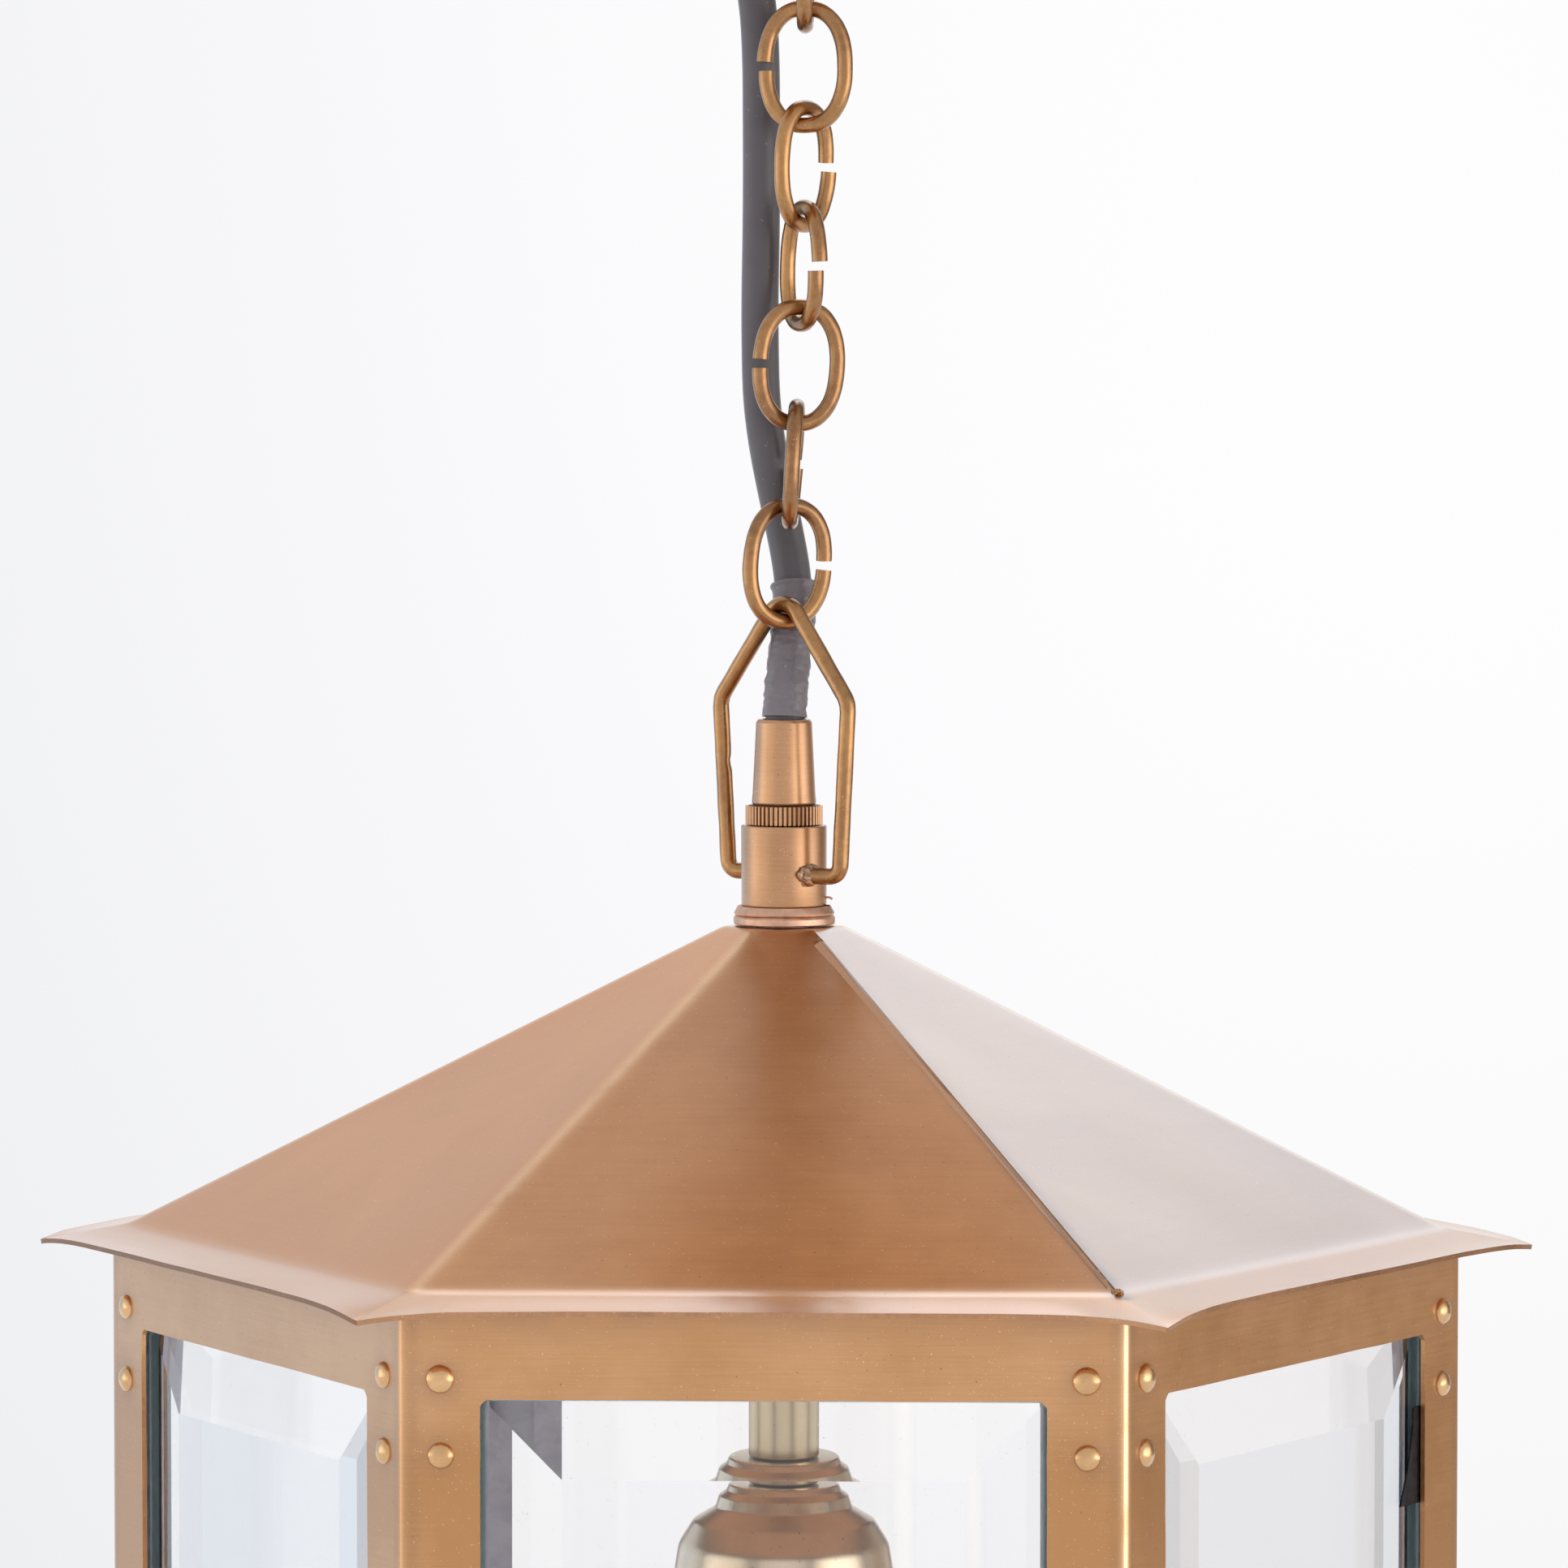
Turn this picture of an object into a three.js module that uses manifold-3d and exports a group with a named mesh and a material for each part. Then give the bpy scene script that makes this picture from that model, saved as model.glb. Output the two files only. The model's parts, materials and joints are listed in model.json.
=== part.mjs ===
// Hexagonal hanging lantern on a chain, with its ceiling fitting, lampholder and supply cable.
// Millimetres, +Z up. The origin is the middle of the ceiling fitting, on the ceiling plane,
// so everything hangs below z = 0. The lantern's front face looks along -Y.
import * as THREE from 'three';
import { mergeVertices } from 'three/addons/utils/BufferGeometryUtils.js';
import Module from 'manifold-3d';

const wasm = await Module();
wasm.setup();

// ---------------------------------------------------------------- driving dimensions

const GAP = 0.3; // clearance between pieces that touch or seat on each other
const SHEET = 0.9; // brass sheet of the roof and the body

// Ceiling fitting
const CANOPY_RADIUS = 52;
const CANOPY_DEPTH = 26;
const CANOPY_WALL = 1;
const BRACKET_LENGTH = 84;
const BRACKET_WIDTH = 22;
const BRACKET_THICKNESS = 2.5;
const BRACKET_SKIN = 1; // metal left above the stem's blind tapping
const SCREW_SLOT_LENGTH = 12;
const SCREW_SLOT_WIDTH = 5;
const SCREW_SLOT_INSET = 12; // slot's middle from the end of the bracket
const STEM_RADIUS = 5;
const STEM_BORE = 3;
const STEM_LENGTH = 33.5;
const STEM_NUT_RADIUS = 9.2;
const STEM_NUT_HEIGHT = 5;
const NUT_SLACK = 0.1; // hexagon nuts turn a little looser than the turned parts
const RING_NUT_RADIUS = 9;
const RING_NUT_HEIGHT = 4;
const LOOP_BOSS_RADIUS = 6.5;
const LOOP_BOSS_HEIGHT = 7;
const LOOP_OVERLAP = 1; // the loop's centreline reaches this far into the boss
const LOOP_RADIUS = 7.5; // centreline of the loop that carries the chain
const LOOP_WIRE = 4;
const GROMMET_PLACE = new THREE.Vector2(-17.5, 14); // where the cable enters the canopy
const GROMMET_RADIUS = 6;
const GROMMET_LIP = 1.2;
const GROMMET_STEP = 1; // how far its lips overhang the hole in the canopy
const FLAT_ROOM = 4; // room between the grommet and the canopy's rounded shoulder
const TERMINAL_SIZE = new THREE.Vector3(20, 12, 9);

// Chain and bail
const LINK_WIRE = 3;
const LINK_LENGTH = 25; // outside
const LINK_WIDTH = 18; // outside
const LINK_OPENING = 1.7; // the unclosed gap in each link's side
const LINK_YAWS = [24, 90, 16, -66, 57, -3, 90]; // degrees, lowest link first
const LINK_GAP_SIDES = [1, 1, -1, 1, 1, -1, 1];
const CHAIN_LEAN = 4; // sideways offset between the ceiling fitting and the lantern
const LEANING_LINKS = 5; // the lean is taken up over this many links
const BAIL_WIRE = 3.1;
const BAIL_YAW = -40;
const BAIL_CORNER_Z = 123.85; // where the two arms would meet; heights count from the brim tips
const BAIL_TIP_ROOM = 1.1; // room for the chain's wire inside the rounded tip
const BAIL_SHOULDER_Z = 103;
const BAIL_SHOULDER_SPAN = 16.2;
const BAIL_FOOT_Z = 70.2;
const BAIL_FOOT_SPAN = 14.1;
const BAIL_FOOT_BEND = 2.2;
const BAIL_SHOULDER_BEND = 6;

// Stack on top of the roof
const COLLAR_WALL = 2.25;
const COLLAR_HEIGHT = 15;
const KNURL_WALL = 1.5;
const KNURL_HEIGHT = 3.5;
const GRIP_WALL = 0.6; // at its foot, outside the nipple's radius
const GRIP_RADIUS_HIGH = 5.35;
const GRIP_HEIGHT = 16.2;
const RIM_CHAMFER = 0.5; // rims of the grip and of the discs under it
const WASHER_RADIUS = 9.6;
const WASHER_HEIGHT = 1.4;
const GASKET_HEIGHT = 1.5;
const GASKET_CHAMFER = 0.7;
const WASHER_EASE = 0.3; // rounding of the upper washer's rim
const NIPPLE_RADIUS = 5.5;
const NIPPLE_BORE = 3.7;
const NIPPLE_DEPTH = 16.4; // below the roof's flat top
const CABLE_RADIUS = 3.55;
const SLEEVE_WALL = 0.5;
const SLEEVE_LENGTH = 24.6;

// Roof
const BRIM_OVERHANG = 14; // brim tips beyond the body's corners
const FOLD_INSET = 2.4; // the slope turns into the brim this far inside the body's corners
const FOLD_Z = 3.1;
const BRIM_EDGE_Z = 0.8;
const BRIM_EDGE_LEAN = 0.2; // the cut edge is not quite upright
const ROOF_TOP_RADIUS = 11.6;
const ROOF_TOP_Z = 60.4;

// Body: six glazed faces
const BODY_RADIUS = 128; // over the corners
const BODY_HEIGHT = 240;
const BODY_TOP_Z = 0.9;
const POST_WIDTH = 14; // frame metal on each side of a window
const RAIL_HEIGHT = 16.4; // frame metal above and below a window
const RIVET_RADIUS = 2.45;
const RIVET_HEIGHT = 1.3;
const RIVET_INSET = 7; // from the corner
const RIVET_DROPS = [12.8, 26.4]; // from the top edge, and the same from the bottom edge
const GLASS_THICKNESS = 4;
const GLASS_EDGE = 2.4; // what the bevel leaves at the rim
const GLASS_BEVEL = 17.6;
const GLASS_OVERLAP = 3.2; // behind the frame on each side
const CHANNEL_SHEET = 0.8; // corner posts that hold the glass
const CHANNEL_LIP = 4.5;
const RING_BAR = 5; // hexagonal bars above and below the glass

// Lampholder and lamp
const TUBE_WALL = 0.9;
const TUBE_BOTTOM_Z = -45.4;
const CUP_RADIUS = 21.7;
const CUP_HEIGHT = 58;
const CUP_WALL = 1;
const CUP_NECK = 12.2;
const INNER_WASHER_DROP = 1.6; // under the roof sheet
const INNER_WASHER_RADIUS = 9.2;
const INNER_WASHER_HEIGHT = 1;
const LOCK_NUT_RADIUS = 8.6;
const LOCK_NUT_HEIGHT = 3.2;
const HOLDER_RADIUS = 18;
const HOLDER_DROP = 14; // below the cup's top
const HOLDER_RISE = 4; // above the cup's rim
const HOLDER_FLOOR = 8; // ceramic above the screw shell
const SHELL_RADIUS = 13.9;
const SHELL_WALL = 0.6;
const SHELL_RISE = 1;
const CONTACT_RADIUS = 3;
const CONTACT_HEIGHT = 2.5;
const CAP_RADIUS = 12.6;
const CAP_HEIGHT = 27;
const CAP_LIP = 1;
const CAP_TIP_RADIUS = 5;
const BULB_RADIUS = 30;
const BULB_DROP = 50; // globe's middle below the cap
const BULB_NECK_ROOM = 0.4;
const BULB_NECK_ANGLE = 55; // degrees above the globe's equator where it meets the neck

// Fineness of the curved pieces
const TURNED_SIDES = 24;
const CANOPY_SIDES = 28;
const CANOPY_STEPS = 5;
const GROMMET_SIDES = 20;
const HOLE_SIDES = 16;
const WIRE_SIDES = 8;
const LINK_STEPS = 24;
const BAIL_STEPS = 56;
const CABLE_STEPS = 64;
const CABLE_SAMPLES = 200;
const SLEEVE_SIDES = 12;
const SLEEVE_STEPS = 10;
const RIVET_SIDES = 8;
const TUBE_SIDES = 28;
const BULB_SIDES = 22;
const BULB_STEPS = 12;

// ---------------------------------------------------------------- derived places

const RAD = Math.PI / 180;
const SIXTH = 60;
const LINK_PITCH = LINK_LENGTH - 2 * LINK_WIRE - GAP;
const LINK_REACH = (LINK_LENGTH - LINK_WIRE) / 2; // link centre to the middle of its end bow
const RING_NUT_TOP = -CANOPY_DEPTH - GAP;
const BOSS_TOP = RING_NUT_TOP - RING_NUT_HEIGHT - GAP;
const LOOP_CENTRE_Z = BOSS_TOP - LOOP_BOSS_HEIGHT + LOOP_OVERLAP - LOOP_RADIUS;
const LOOP_LOW_Z = LOOP_CENTRE_Z - LOOP_RADIUS;
const TOP_SEAT_Z = LOOP_LOW_Z + (LOOP_WIRE + LINK_WIRE) / 2 + GAP; // top bow of the top link
const BAIL_SEAT = (BAIL_WIRE + LINK_WIRE) / 2 + GAP;
const BAIL_TIP_RADIUS = (BAIL_WIRE + LINK_WIRE) / 2 + BAIL_TIP_ROOM;
const BAIL_APEX_Z = bailApexZ();
const BRIM_Z = chainBottomZ() - LINK_REACH + BAIL_SEAT - BAIL_APEX_Z;
const NUT_BORE = NIPPLE_RADIUS + GAP; // everything threaded onto the nipple
const COLLAR_RADIUS = NUT_BORE + COLLAR_WALL;
const KNURL_RADIUS = NUT_BORE + KNURL_WALL;
const GRIP_RADIUS_LOW = NIPPLE_RADIUS + GRIP_WALL;
const TUBE_BORE = NUT_BORE;
const TUBE_RADIUS = TUBE_BORE + TUBE_WALL;
const BRIM_RADIUS = BODY_RADIUS + BRIM_OVERHANG;
const FOLD_RADIUS = BODY_RADIUS - FOLD_INSET;
const APOTHEM = BODY_RADIUS * Math.cos(30 * RAD);
const BODY_BOTTOM_Z = BODY_TOP_Z - BODY_HEIGHT;
const WINDOW_TOP_Z = BODY_TOP_Z - RAIL_HEIGHT;
const WINDOW_BOTTOM_Z = BODY_BOTTOM_Z + RAIL_HEIGHT;
const WINDOW_HALF = BODY_RADIUS / 2 - POST_WIDTH;
const GLASS_TOP_Z = WINDOW_TOP_Z + GLASS_OVERLAP;
const GLASS_BOTTOM_Z = WINDOW_BOTTOM_Z - GLASS_OVERLAP;
const GASKET_Z = ROOF_TOP_Z + GAP;
const WASHER_Z = GASKET_Z + GASKET_HEIGHT + GAP;
const COLLAR_Z = WASHER_Z + WASHER_HEIGHT + GAP;
const KNURL_Z = COLLAR_Z + COLLAR_HEIGHT + GAP;
const GRIP_Z = KNURL_Z + KNURL_HEIGHT + GAP;
const SLEEVE_Z = GRIP_Z + GRIP_HEIGHT + GAP;
const NIPPLE_TOP_Z = KNURL_Z + KNURL_HEIGHT;
const NIPPLE_BOTTOM_Z = ROOF_TOP_Z - NIPPLE_DEPTH;

function chainBottomZ() {
  return TOP_SEAT_Z - LINK_REACH - (LINK_YAWS.length - 1) * LINK_PITCH;
}

// The middle of the wire at the bail's rounded tip.
function bailApexZ() {
  const half = Math.atan2(BAIL_SHOULDER_SPAN, BAIL_CORNER_Z - BAIL_SHOULDER_Z);
  return BAIL_CORNER_Z - BAIL_TIP_RADIUS * (1 / Math.sin(half) - 1);
}

// ---------------------------------------------------------------- materials

function material(color, roughness, metalness) {
  return new THREE.MeshStandardMaterial({ color, roughness, metalness });
}

const antiqueBrass = material(0xb98253, 0.38, 1);
const satinBrass = material(0xc9a271, 0.35, 1);
const copperWasher = material(0xb57a5c, 0.5, 1);
const zincSteel = material(0xb9bbbd, 0.4, 1);
const cableRubber = material(0x5f5c62, 0.75, 0);
const whiteCeramic = material(0xe9e6df, 0.35, 0);
const opalGlass = material(0xf4f2ea, 0.25, 0);
const clearGlass = material(0xd8ebe6, 0.05, 0);
clearGlass.transparent = true;
clearGlass.opacity = 0.35;

// ---------------------------------------------------------------- helpers

const lantern = new THREE.Group();
lantern.position.set(-CHAIN_LEAN, 0, BRIM_Z);
const group = new THREE.Group();
group.add(lantern);

function addPart(parent, name, geometry, finish) {
  const part = new THREE.Mesh(geometry, finish);
  part.name = name;
  parent.add(part);
  return part;
}

function toSolid(geometry) {
  const bare = geometry.index ? geometry.toNonIndexed() : geometry.clone();
  bare.deleteAttribute('normal');
  bare.deleteAttribute('uv');
  const merged = mergeVertices(bare, 1e-4);
  return new wasm.Manifold(new wasm.Mesh({
    numProp: 3,
    vertProperties: new Float32Array(merged.attributes.position.array),
    triVerts: new Uint32Array(merged.index.array),
  }));
}

function toGeometry(solid) {
  const mesh = solid.getMesh();
  const geometry = new THREE.BufferGeometry();
  geometry.setAttribute('position', new THREE.BufferAttribute(mesh.vertProperties, 3));
  geometry.setIndex(new THREE.BufferAttribute(mesh.triVerts, 1));
  return geometry;
}

function polygonPoints(radius, sides, turn = 0) {
  const points = [];
  for (let i = 0; i < sides; i += 1) {
    const angle = turn + (2 * Math.PI * i) / sides;
    points.push(new THREE.Vector2(radius * Math.cos(angle), radius * Math.sin(angle)));
  }
  return points;
}

function prism(points, bottom, top, hole = null) {
  const shape = new THREE.Shape(points);
  if (hole) {
    shape.holes.push(new THREE.Path(hole));
  }
  const geometry = new THREE.ExtrudeGeometry(shape, { depth: top - bottom, bevelEnabled: false });
  return geometry.translate(0, 0, bottom);
}

// A turned piece: profile points are [radius, z], going round the section once either way.
function turned(profile, segments = TURNED_SIDES) {
  const points = profile.map(([radius, z]) => new THREE.Vector2(radius, z));
  if (THREE.ShapeUtils.area(points) < 0) {
    points.reverse();
  }
  points.push(points[0].clone());
  return new THREE.LatheGeometry(points, segments).rotateX(Math.PI / 2);
}

function bush(outer, inner, bottom, top, segments = TURNED_SIDES) {
  return turned([[inner, bottom], [outer, bottom], [outer, top], [inner, top]], segments);
}

function swept(curve, points, steps) {
  return new THREE.ExtrudeGeometry(new THREE.Shape(points), { steps, extrudePath: curve });
}

function box(width, depth, height, x, y, z) {
  return new THREE.BoxGeometry(width, depth, height).translate(x, y, z);
}

// An upright rod centred on the axis.
function rod(radius, bottom, top, segments = TURNED_SIDES) {
  const length = top - bottom;
  const geometry = new THREE.CylinderGeometry(radius, radius, length, segments);
  return geometry.rotateX(Math.PI / 2).translate(0, 0, bottom + length / 2);
}

// ---------------------------------------------------------------- ceiling fitting

function buildCanopy() {
  const flat = GROMMET_PLACE.length() + GROMMET_RADIUS + FLAT_ROOM;
  const bore = STEM_RADIUS + GAP;
  const low = -CANOPY_DEPTH;
  const lining = low + CANOPY_WALL;
  const reach = CANOPY_RADIUS - flat;
  const rise = CANOPY_DEPTH - GAP;
  const outside = [];
  const inside = [];
  for (let i = 0; i <= CANOPY_STEPS; i += 1) {
    const angle = (i / CANOPY_STEPS) * (Math.PI / 2);
    const level = 1 - Math.cos(angle);
    outside.push([flat + reach * Math.sin(angle), low + rise * level]);
    inside.unshift([
      flat + (reach - CANOPY_WALL) * Math.sin(angle),
      lining + (rise - CANOPY_WALL) * level,
    ]);
  }
  const section = [[bore, low], ...outside, ...inside, [bore, lining]];
  const shell = toSolid(turned(section, CANOPY_SIDES));
  const hole = toSolid(rod(
    GROMMET_RADIUS - GROMMET_STEP, low - 3 * CANOPY_WALL, low + 3 * CANOPY_WALL, HOLE_SIDES,
  ).translate(GROMMET_PLACE.x, GROMMET_PLACE.y, 0));
  addPart(group, 'canopy', toGeometry(shell.subtract(hole)), antiqueBrass);
}

function buildGrommet() {
  const low = -CANOPY_DEPTH;
  const neck = GROMMET_RADIUS - GROMMET_STEP - GAP;
  const bore = CABLE_RADIUS + GAP;
  const under = low - GAP;
  const over = low + CANOPY_WALL + GAP;
  const bottom = under - GROMMET_LIP;
  const top = over + GROMMET_LIP;
  const geometry = turned([
    [bore, bottom], [GROMMET_RADIUS, bottom], [GROMMET_RADIUS, under], [neck, under],
    [neck, over], [GROMMET_RADIUS, over], [GROMMET_RADIUS, top], [bore, top],
  ], GROMMET_SIDES);
  geometry.translate(GROMMET_PLACE.x, GROMMET_PLACE.y, 0);
  addPart(group, 'cable_grommet', geometry, cableRubber);
}

function buildBracket() {
  const slots = [-1, 1].map((side) => toSolid(box(
    SCREW_SLOT_LENGTH, SCREW_SLOT_WIDTH, 3 * BRACKET_THICKNESS,
    side * (BRACKET_LENGTH / 2 - SCREW_SLOT_INSET), 0, 0,
  )));
  const tapping = toSolid(rod(STEM_RADIUS + GAP, -CANOPY_DEPTH, -BRACKET_SKIN));
  const bar = toSolid(box(
    BRACKET_LENGTH, BRACKET_WIDTH, BRACKET_THICKNESS, 0, 0, -BRACKET_THICKNESS / 2,
  ));
  const bracket = slots.reduce((solid, slot) => solid.subtract(slot), bar.subtract(tapping));
  addPart(group, 'ceiling_bracket', toGeometry(bracket), zincSteel);
}

function buildHangerLoop(stemBottom) {
  const bore = STEM_RADIUS + GAP;
  const boss = toSolid(rod(LOOP_BOSS_RADIUS, BOSS_TOP - LOOP_BOSS_HEIGHT, BOSS_TOP));
  const ring = toSolid(new THREE.TorusGeometry(LOOP_RADIUS, LOOP_WIRE / 2, WIRE_SIDES, TURNED_SIDES)
    .rotateX(Math.PI / 2).translate(0, 0, LOOP_CENTRE_Z));
  const socket = toSolid(rod(bore, stemBottom - GAP, 2 * BOSS_TOP - stemBottom + GAP));
  addPart(group, 'hanger_loop', toGeometry(boss.add(ring).subtract(socket)), antiqueBrass);
}

function buildCeilingFitting() {
  buildBracket();
  const bore = STEM_RADIUS + GAP;
  const stemTop = -BRACKET_SKIN - GAP;
  const stemBottom = stemTop - STEM_LENGTH;
  addPart(group, 'hanger_stem', bush(STEM_RADIUS, STEM_BORE, stemBottom, stemTop), zincSteel);
  const nutTop = -BRACKET_THICKNESS - GAP;
  addPart(group, 'stem_nut', prism(
    polygonPoints(STEM_NUT_RADIUS, 6), nutTop - STEM_NUT_HEIGHT, nutTop,
    polygonPoints(bore + NUT_SLACK, TURNED_SIDES),
  ), zincSteel);

  buildCanopy();
  buildGrommet();
  addPart(group, 'canopy_ring_nut', bush(
    RING_NUT_RADIUS, bore, RING_NUT_TOP - RING_NUT_HEIGHT, RING_NUT_TOP,
  ), antiqueBrass);
  buildHangerLoop(stemBottom);

  const terminal = box(
    TERMINAL_SIZE.x, TERMINAL_SIZE.y, TERMINAL_SIZE.z,
    GROMMET_PLACE.x, GROMMET_PLACE.y, CABLE_TOP_Z + GAP + TERMINAL_SIZE.z / 2,
  );
  addPart(group, 'terminal_block', terminal, whiteCeramic);
}

// ---------------------------------------------------------------- chain

// The wire's centreline: an oval with a short gap in the middle of one side.
class LinkPath extends THREE.Curve {
  constructor(side) {
    super();
    this.side = side;
    this.bow = (LINK_WIDTH - LINK_WIRE) / 2;
    this.straight = LINK_REACH - this.bow;
    this.start = LINK_OPENING / 2;
  }

  getPoint(t, target = new THREE.Vector3()) {
    const arc = Math.PI * this.bow;
    const first = this.straight - this.start;
    const total = 2 * first + 2 * arc + 2 * this.straight;
    let along = t * total;
    let x = this.bow;
    let z = this.start + along;
    if (along > first) {
      along -= first;
      const angle = along / this.bow;
      x = this.bow * Math.cos(angle);
      z = this.straight + this.bow * Math.sin(angle);
      if (along > arc) {
        along -= arc;
        x = -this.bow;
        z = this.straight - along;
        if (along > 2 * this.straight) {
          along -= 2 * this.straight;
          const back = along / this.bow;
          x = -this.bow * Math.cos(back);
          z = -this.straight - this.bow * Math.sin(back);
          if (along > arc) {
            along -= arc;
            x = this.bow;
            z = -this.straight + along;
          }
        }
      }
    }
    return target.set(this.side * x, 0, z);
  }
}

// Sideways place of the contact above link number i, counted from the lantern's axis.
function leanAt(i) {
  return CHAIN_LEAN * Math.sin((Math.PI / 2) * Math.min(i / LEANING_LINKS, 1));
}

function buildChain() {
  const bottom = chainBottomZ();
  LINK_YAWS.forEach((yaw, i) => {
    const low = leanAt(i);
    const high = leanAt(i + 1);
    const path = new LinkPath(LINK_GAP_SIDES[i]);
    const section = polygonPoints(LINK_WIRE / 2, WIRE_SIDES, Math.PI / WIRE_SIDES);
    const geometry = swept(path, section, LINK_STEPS);
    const tilt = new THREE.Matrix4().makeRotationY(Math.atan2(high - low, LINK_PITCH));
    geometry.applyMatrix4(new THREE.Matrix4().makeRotationZ(yaw * RAD));
    geometry.applyMatrix4(tilt);
    geometry.translate((low + high) / 2 - CHAIN_LEAN, 0, bottom + i * LINK_PITCH);
    addPart(group, `chain_link_${i + 1}`, geometry, antiqueBrass);
  });
}

// ---------------------------------------------------------------- bail

// A round bend from one point to another about a centre.
class Bend extends THREE.Curve {
  constructor(centre, from, to) {
    super();
    this.centre = centre;
    this.from = from.clone().sub(centre);
    this.to = to.clone().sub(centre);
    this.angle = this.from.angleTo(this.to);
  }

  getPoint(t, target = new THREE.Vector3()) {
    const whole = Math.sin(this.angle);
    return target.copy(this.centre)
      .addScaledVector(this.from, Math.sin((1 - t) * this.angle) / whole)
      .addScaledVector(this.to, Math.sin(t * this.angle) / whole);
  }
}

// A polyline with its corners rounded by the given radii.
function roundedPath(corners) {
  const path = new THREE.CurvePath();
  let from = corners[0].point.clone();
  for (let i = 1; i < corners.length - 1; i += 1) {
    const { point, radius } = corners[i];
    const back = corners[i - 1].point.clone().sub(point).normalize();
    const onward = corners[i + 1].point.clone().sub(point).normalize();
    const half = back.angleTo(onward) / 2;
    const cut = radius / Math.tan(half);
    const enter = point.clone().addScaledVector(back, cut);
    const leave = point.clone().addScaledVector(onward, cut);
    path.add(new THREE.LineCurve3(from, enter));
    const inward = back.clone().add(onward).normalize();
    const centre = point.clone().addScaledVector(inward, radius / Math.sin(half));
    path.add(new Bend(centre, enter, leave));
    from = leave;
  }
  path.add(new THREE.LineCurve3(from, corners[corners.length - 1].point.clone()));
  return path;
}

function buildBail() {
  const foot = COLLAR_RADIUS + GAP;
  const corner = (x, z, radius) => ({ point: new THREE.Vector3(x, 0, z), radius });
  const path = roundedPath([
    corner(foot, BAIL_FOOT_Z, 0),
    corner(BAIL_FOOT_SPAN, BAIL_FOOT_Z, BAIL_FOOT_BEND),
    corner(BAIL_SHOULDER_SPAN, BAIL_SHOULDER_Z, BAIL_SHOULDER_BEND),
    corner(0, BAIL_CORNER_Z, BAIL_TIP_RADIUS),
    corner(-BAIL_SHOULDER_SPAN, BAIL_SHOULDER_Z, BAIL_SHOULDER_BEND),
    corner(-BAIL_FOOT_SPAN, BAIL_FOOT_Z, BAIL_FOOT_BEND),
    corner(-foot, BAIL_FOOT_Z, 0),
  ]);
  const geometry = swept(path, polygonPoints(BAIL_WIRE / 2, WIRE_SIDES), BAIL_STEPS);
  geometry.rotateZ(BAIL_YAW * RAD);
  addPart(lantern, 'bail', geometry, antiqueBrass);
}

// ---------------------------------------------------------------- stack above the roof

function buildTopStack() {
  const bore = NUT_BORE;
  const gasketTop = GASKET_Z + GASKET_HEIGHT;
  addPart(lantern, 'roof_gasket', turned([
    [bore, GASKET_Z], [WASHER_RADIUS, GASKET_Z],
    [WASHER_RADIUS, gasketTop - RIM_CHAMFER], [WASHER_RADIUS - GASKET_CHAMFER, gasketTop],
    [bore, gasketTop],
  ]), copperWasher);
  const washerTop = WASHER_Z + WASHER_HEIGHT;
  addPart(lantern, 'top_washer', turned([
    [bore, WASHER_Z], [WASHER_RADIUS - 2 * WASHER_EASE, WASHER_Z],
    [WASHER_RADIUS - WASHER_EASE, WASHER_Z + RIM_CHAMFER],
    [WASHER_RADIUS - 3 * WASHER_EASE, washerTop],
    [bore, washerTop],
  ]), copperWasher);
  const collarTop = COLLAR_Z + COLLAR_HEIGHT;
  addPart(lantern, 'collar', bush(COLLAR_RADIUS, bore, COLLAR_Z, collarTop), antiqueBrass);
  const knurlTop = KNURL_Z + KNURL_HEIGHT;
  addPart(lantern, 'knurled_nut', bush(KNURL_RADIUS, bore, KNURL_Z, knurlTop), antiqueBrass);
  const gripBore = CABLE_RADIUS + GAP;
  const gripTop = GRIP_Z + GRIP_HEIGHT;
  addPart(lantern, 'cord_grip', turned([
    [gripBore, GRIP_Z], [GRIP_RADIUS_LOW, GRIP_Z],
    [GRIP_RADIUS_HIGH, gripTop - RIM_CHAMFER], [GRIP_RADIUS_HIGH - RIM_CHAMFER, gripTop],
    [gripBore, gripTop],
  ]), antiqueBrass);
  const nipple = bush(NIPPLE_RADIUS, NIPPLE_BORE, NIPPLE_BOTTOM_Z, NIPPLE_TOP_Z);
  addPart(lantern, 'threaded_nipple', nipple, zincSteel);
}

// ---------------------------------------------------------------- supply cable

// Hand-chosen route from inside the cord grip up to the terminal block, in the part's own frame.
const CABLE_ROUTE = [
  [-4, 0, -215.75], [-4, 0, -207.95], [-3.95, 0.1, -200.45], [-3.6, 1.5, -193.95],
  [-2.9, 4.9, -186.95], [-2.4, 8.2, -180.45], [-2.8, 10.5, -173.45], [-4.2, 11.7, -165.45],
  [-6, 12, -156.95], [-7.6, 12, -148.45], [-8.6, 11.7, -139.95], [-8.9, 11.3, -129.95],
  [-8.9, 10.9, -119.95], [-8.7, 10.4, -108.95], [-8.6, 9.9, -97.95], [-8.6, 9.4, -86.95],
  [-8.7, 9.1, -75.95], [-9.3, 9.3, -65.95], [-11.2, 10.3, -55.45], [-14.2, 11.9, -44.95],
  [-16.7, 13.3, -35.45], [-17.5, 14, -26.95], [-17.5, 14, -19.95], [-17.5, 14, -12.95],
];
const CABLE_TOP_Z = CABLE_ROUTE[CABLE_ROUTE.length - 1][2];

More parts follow.
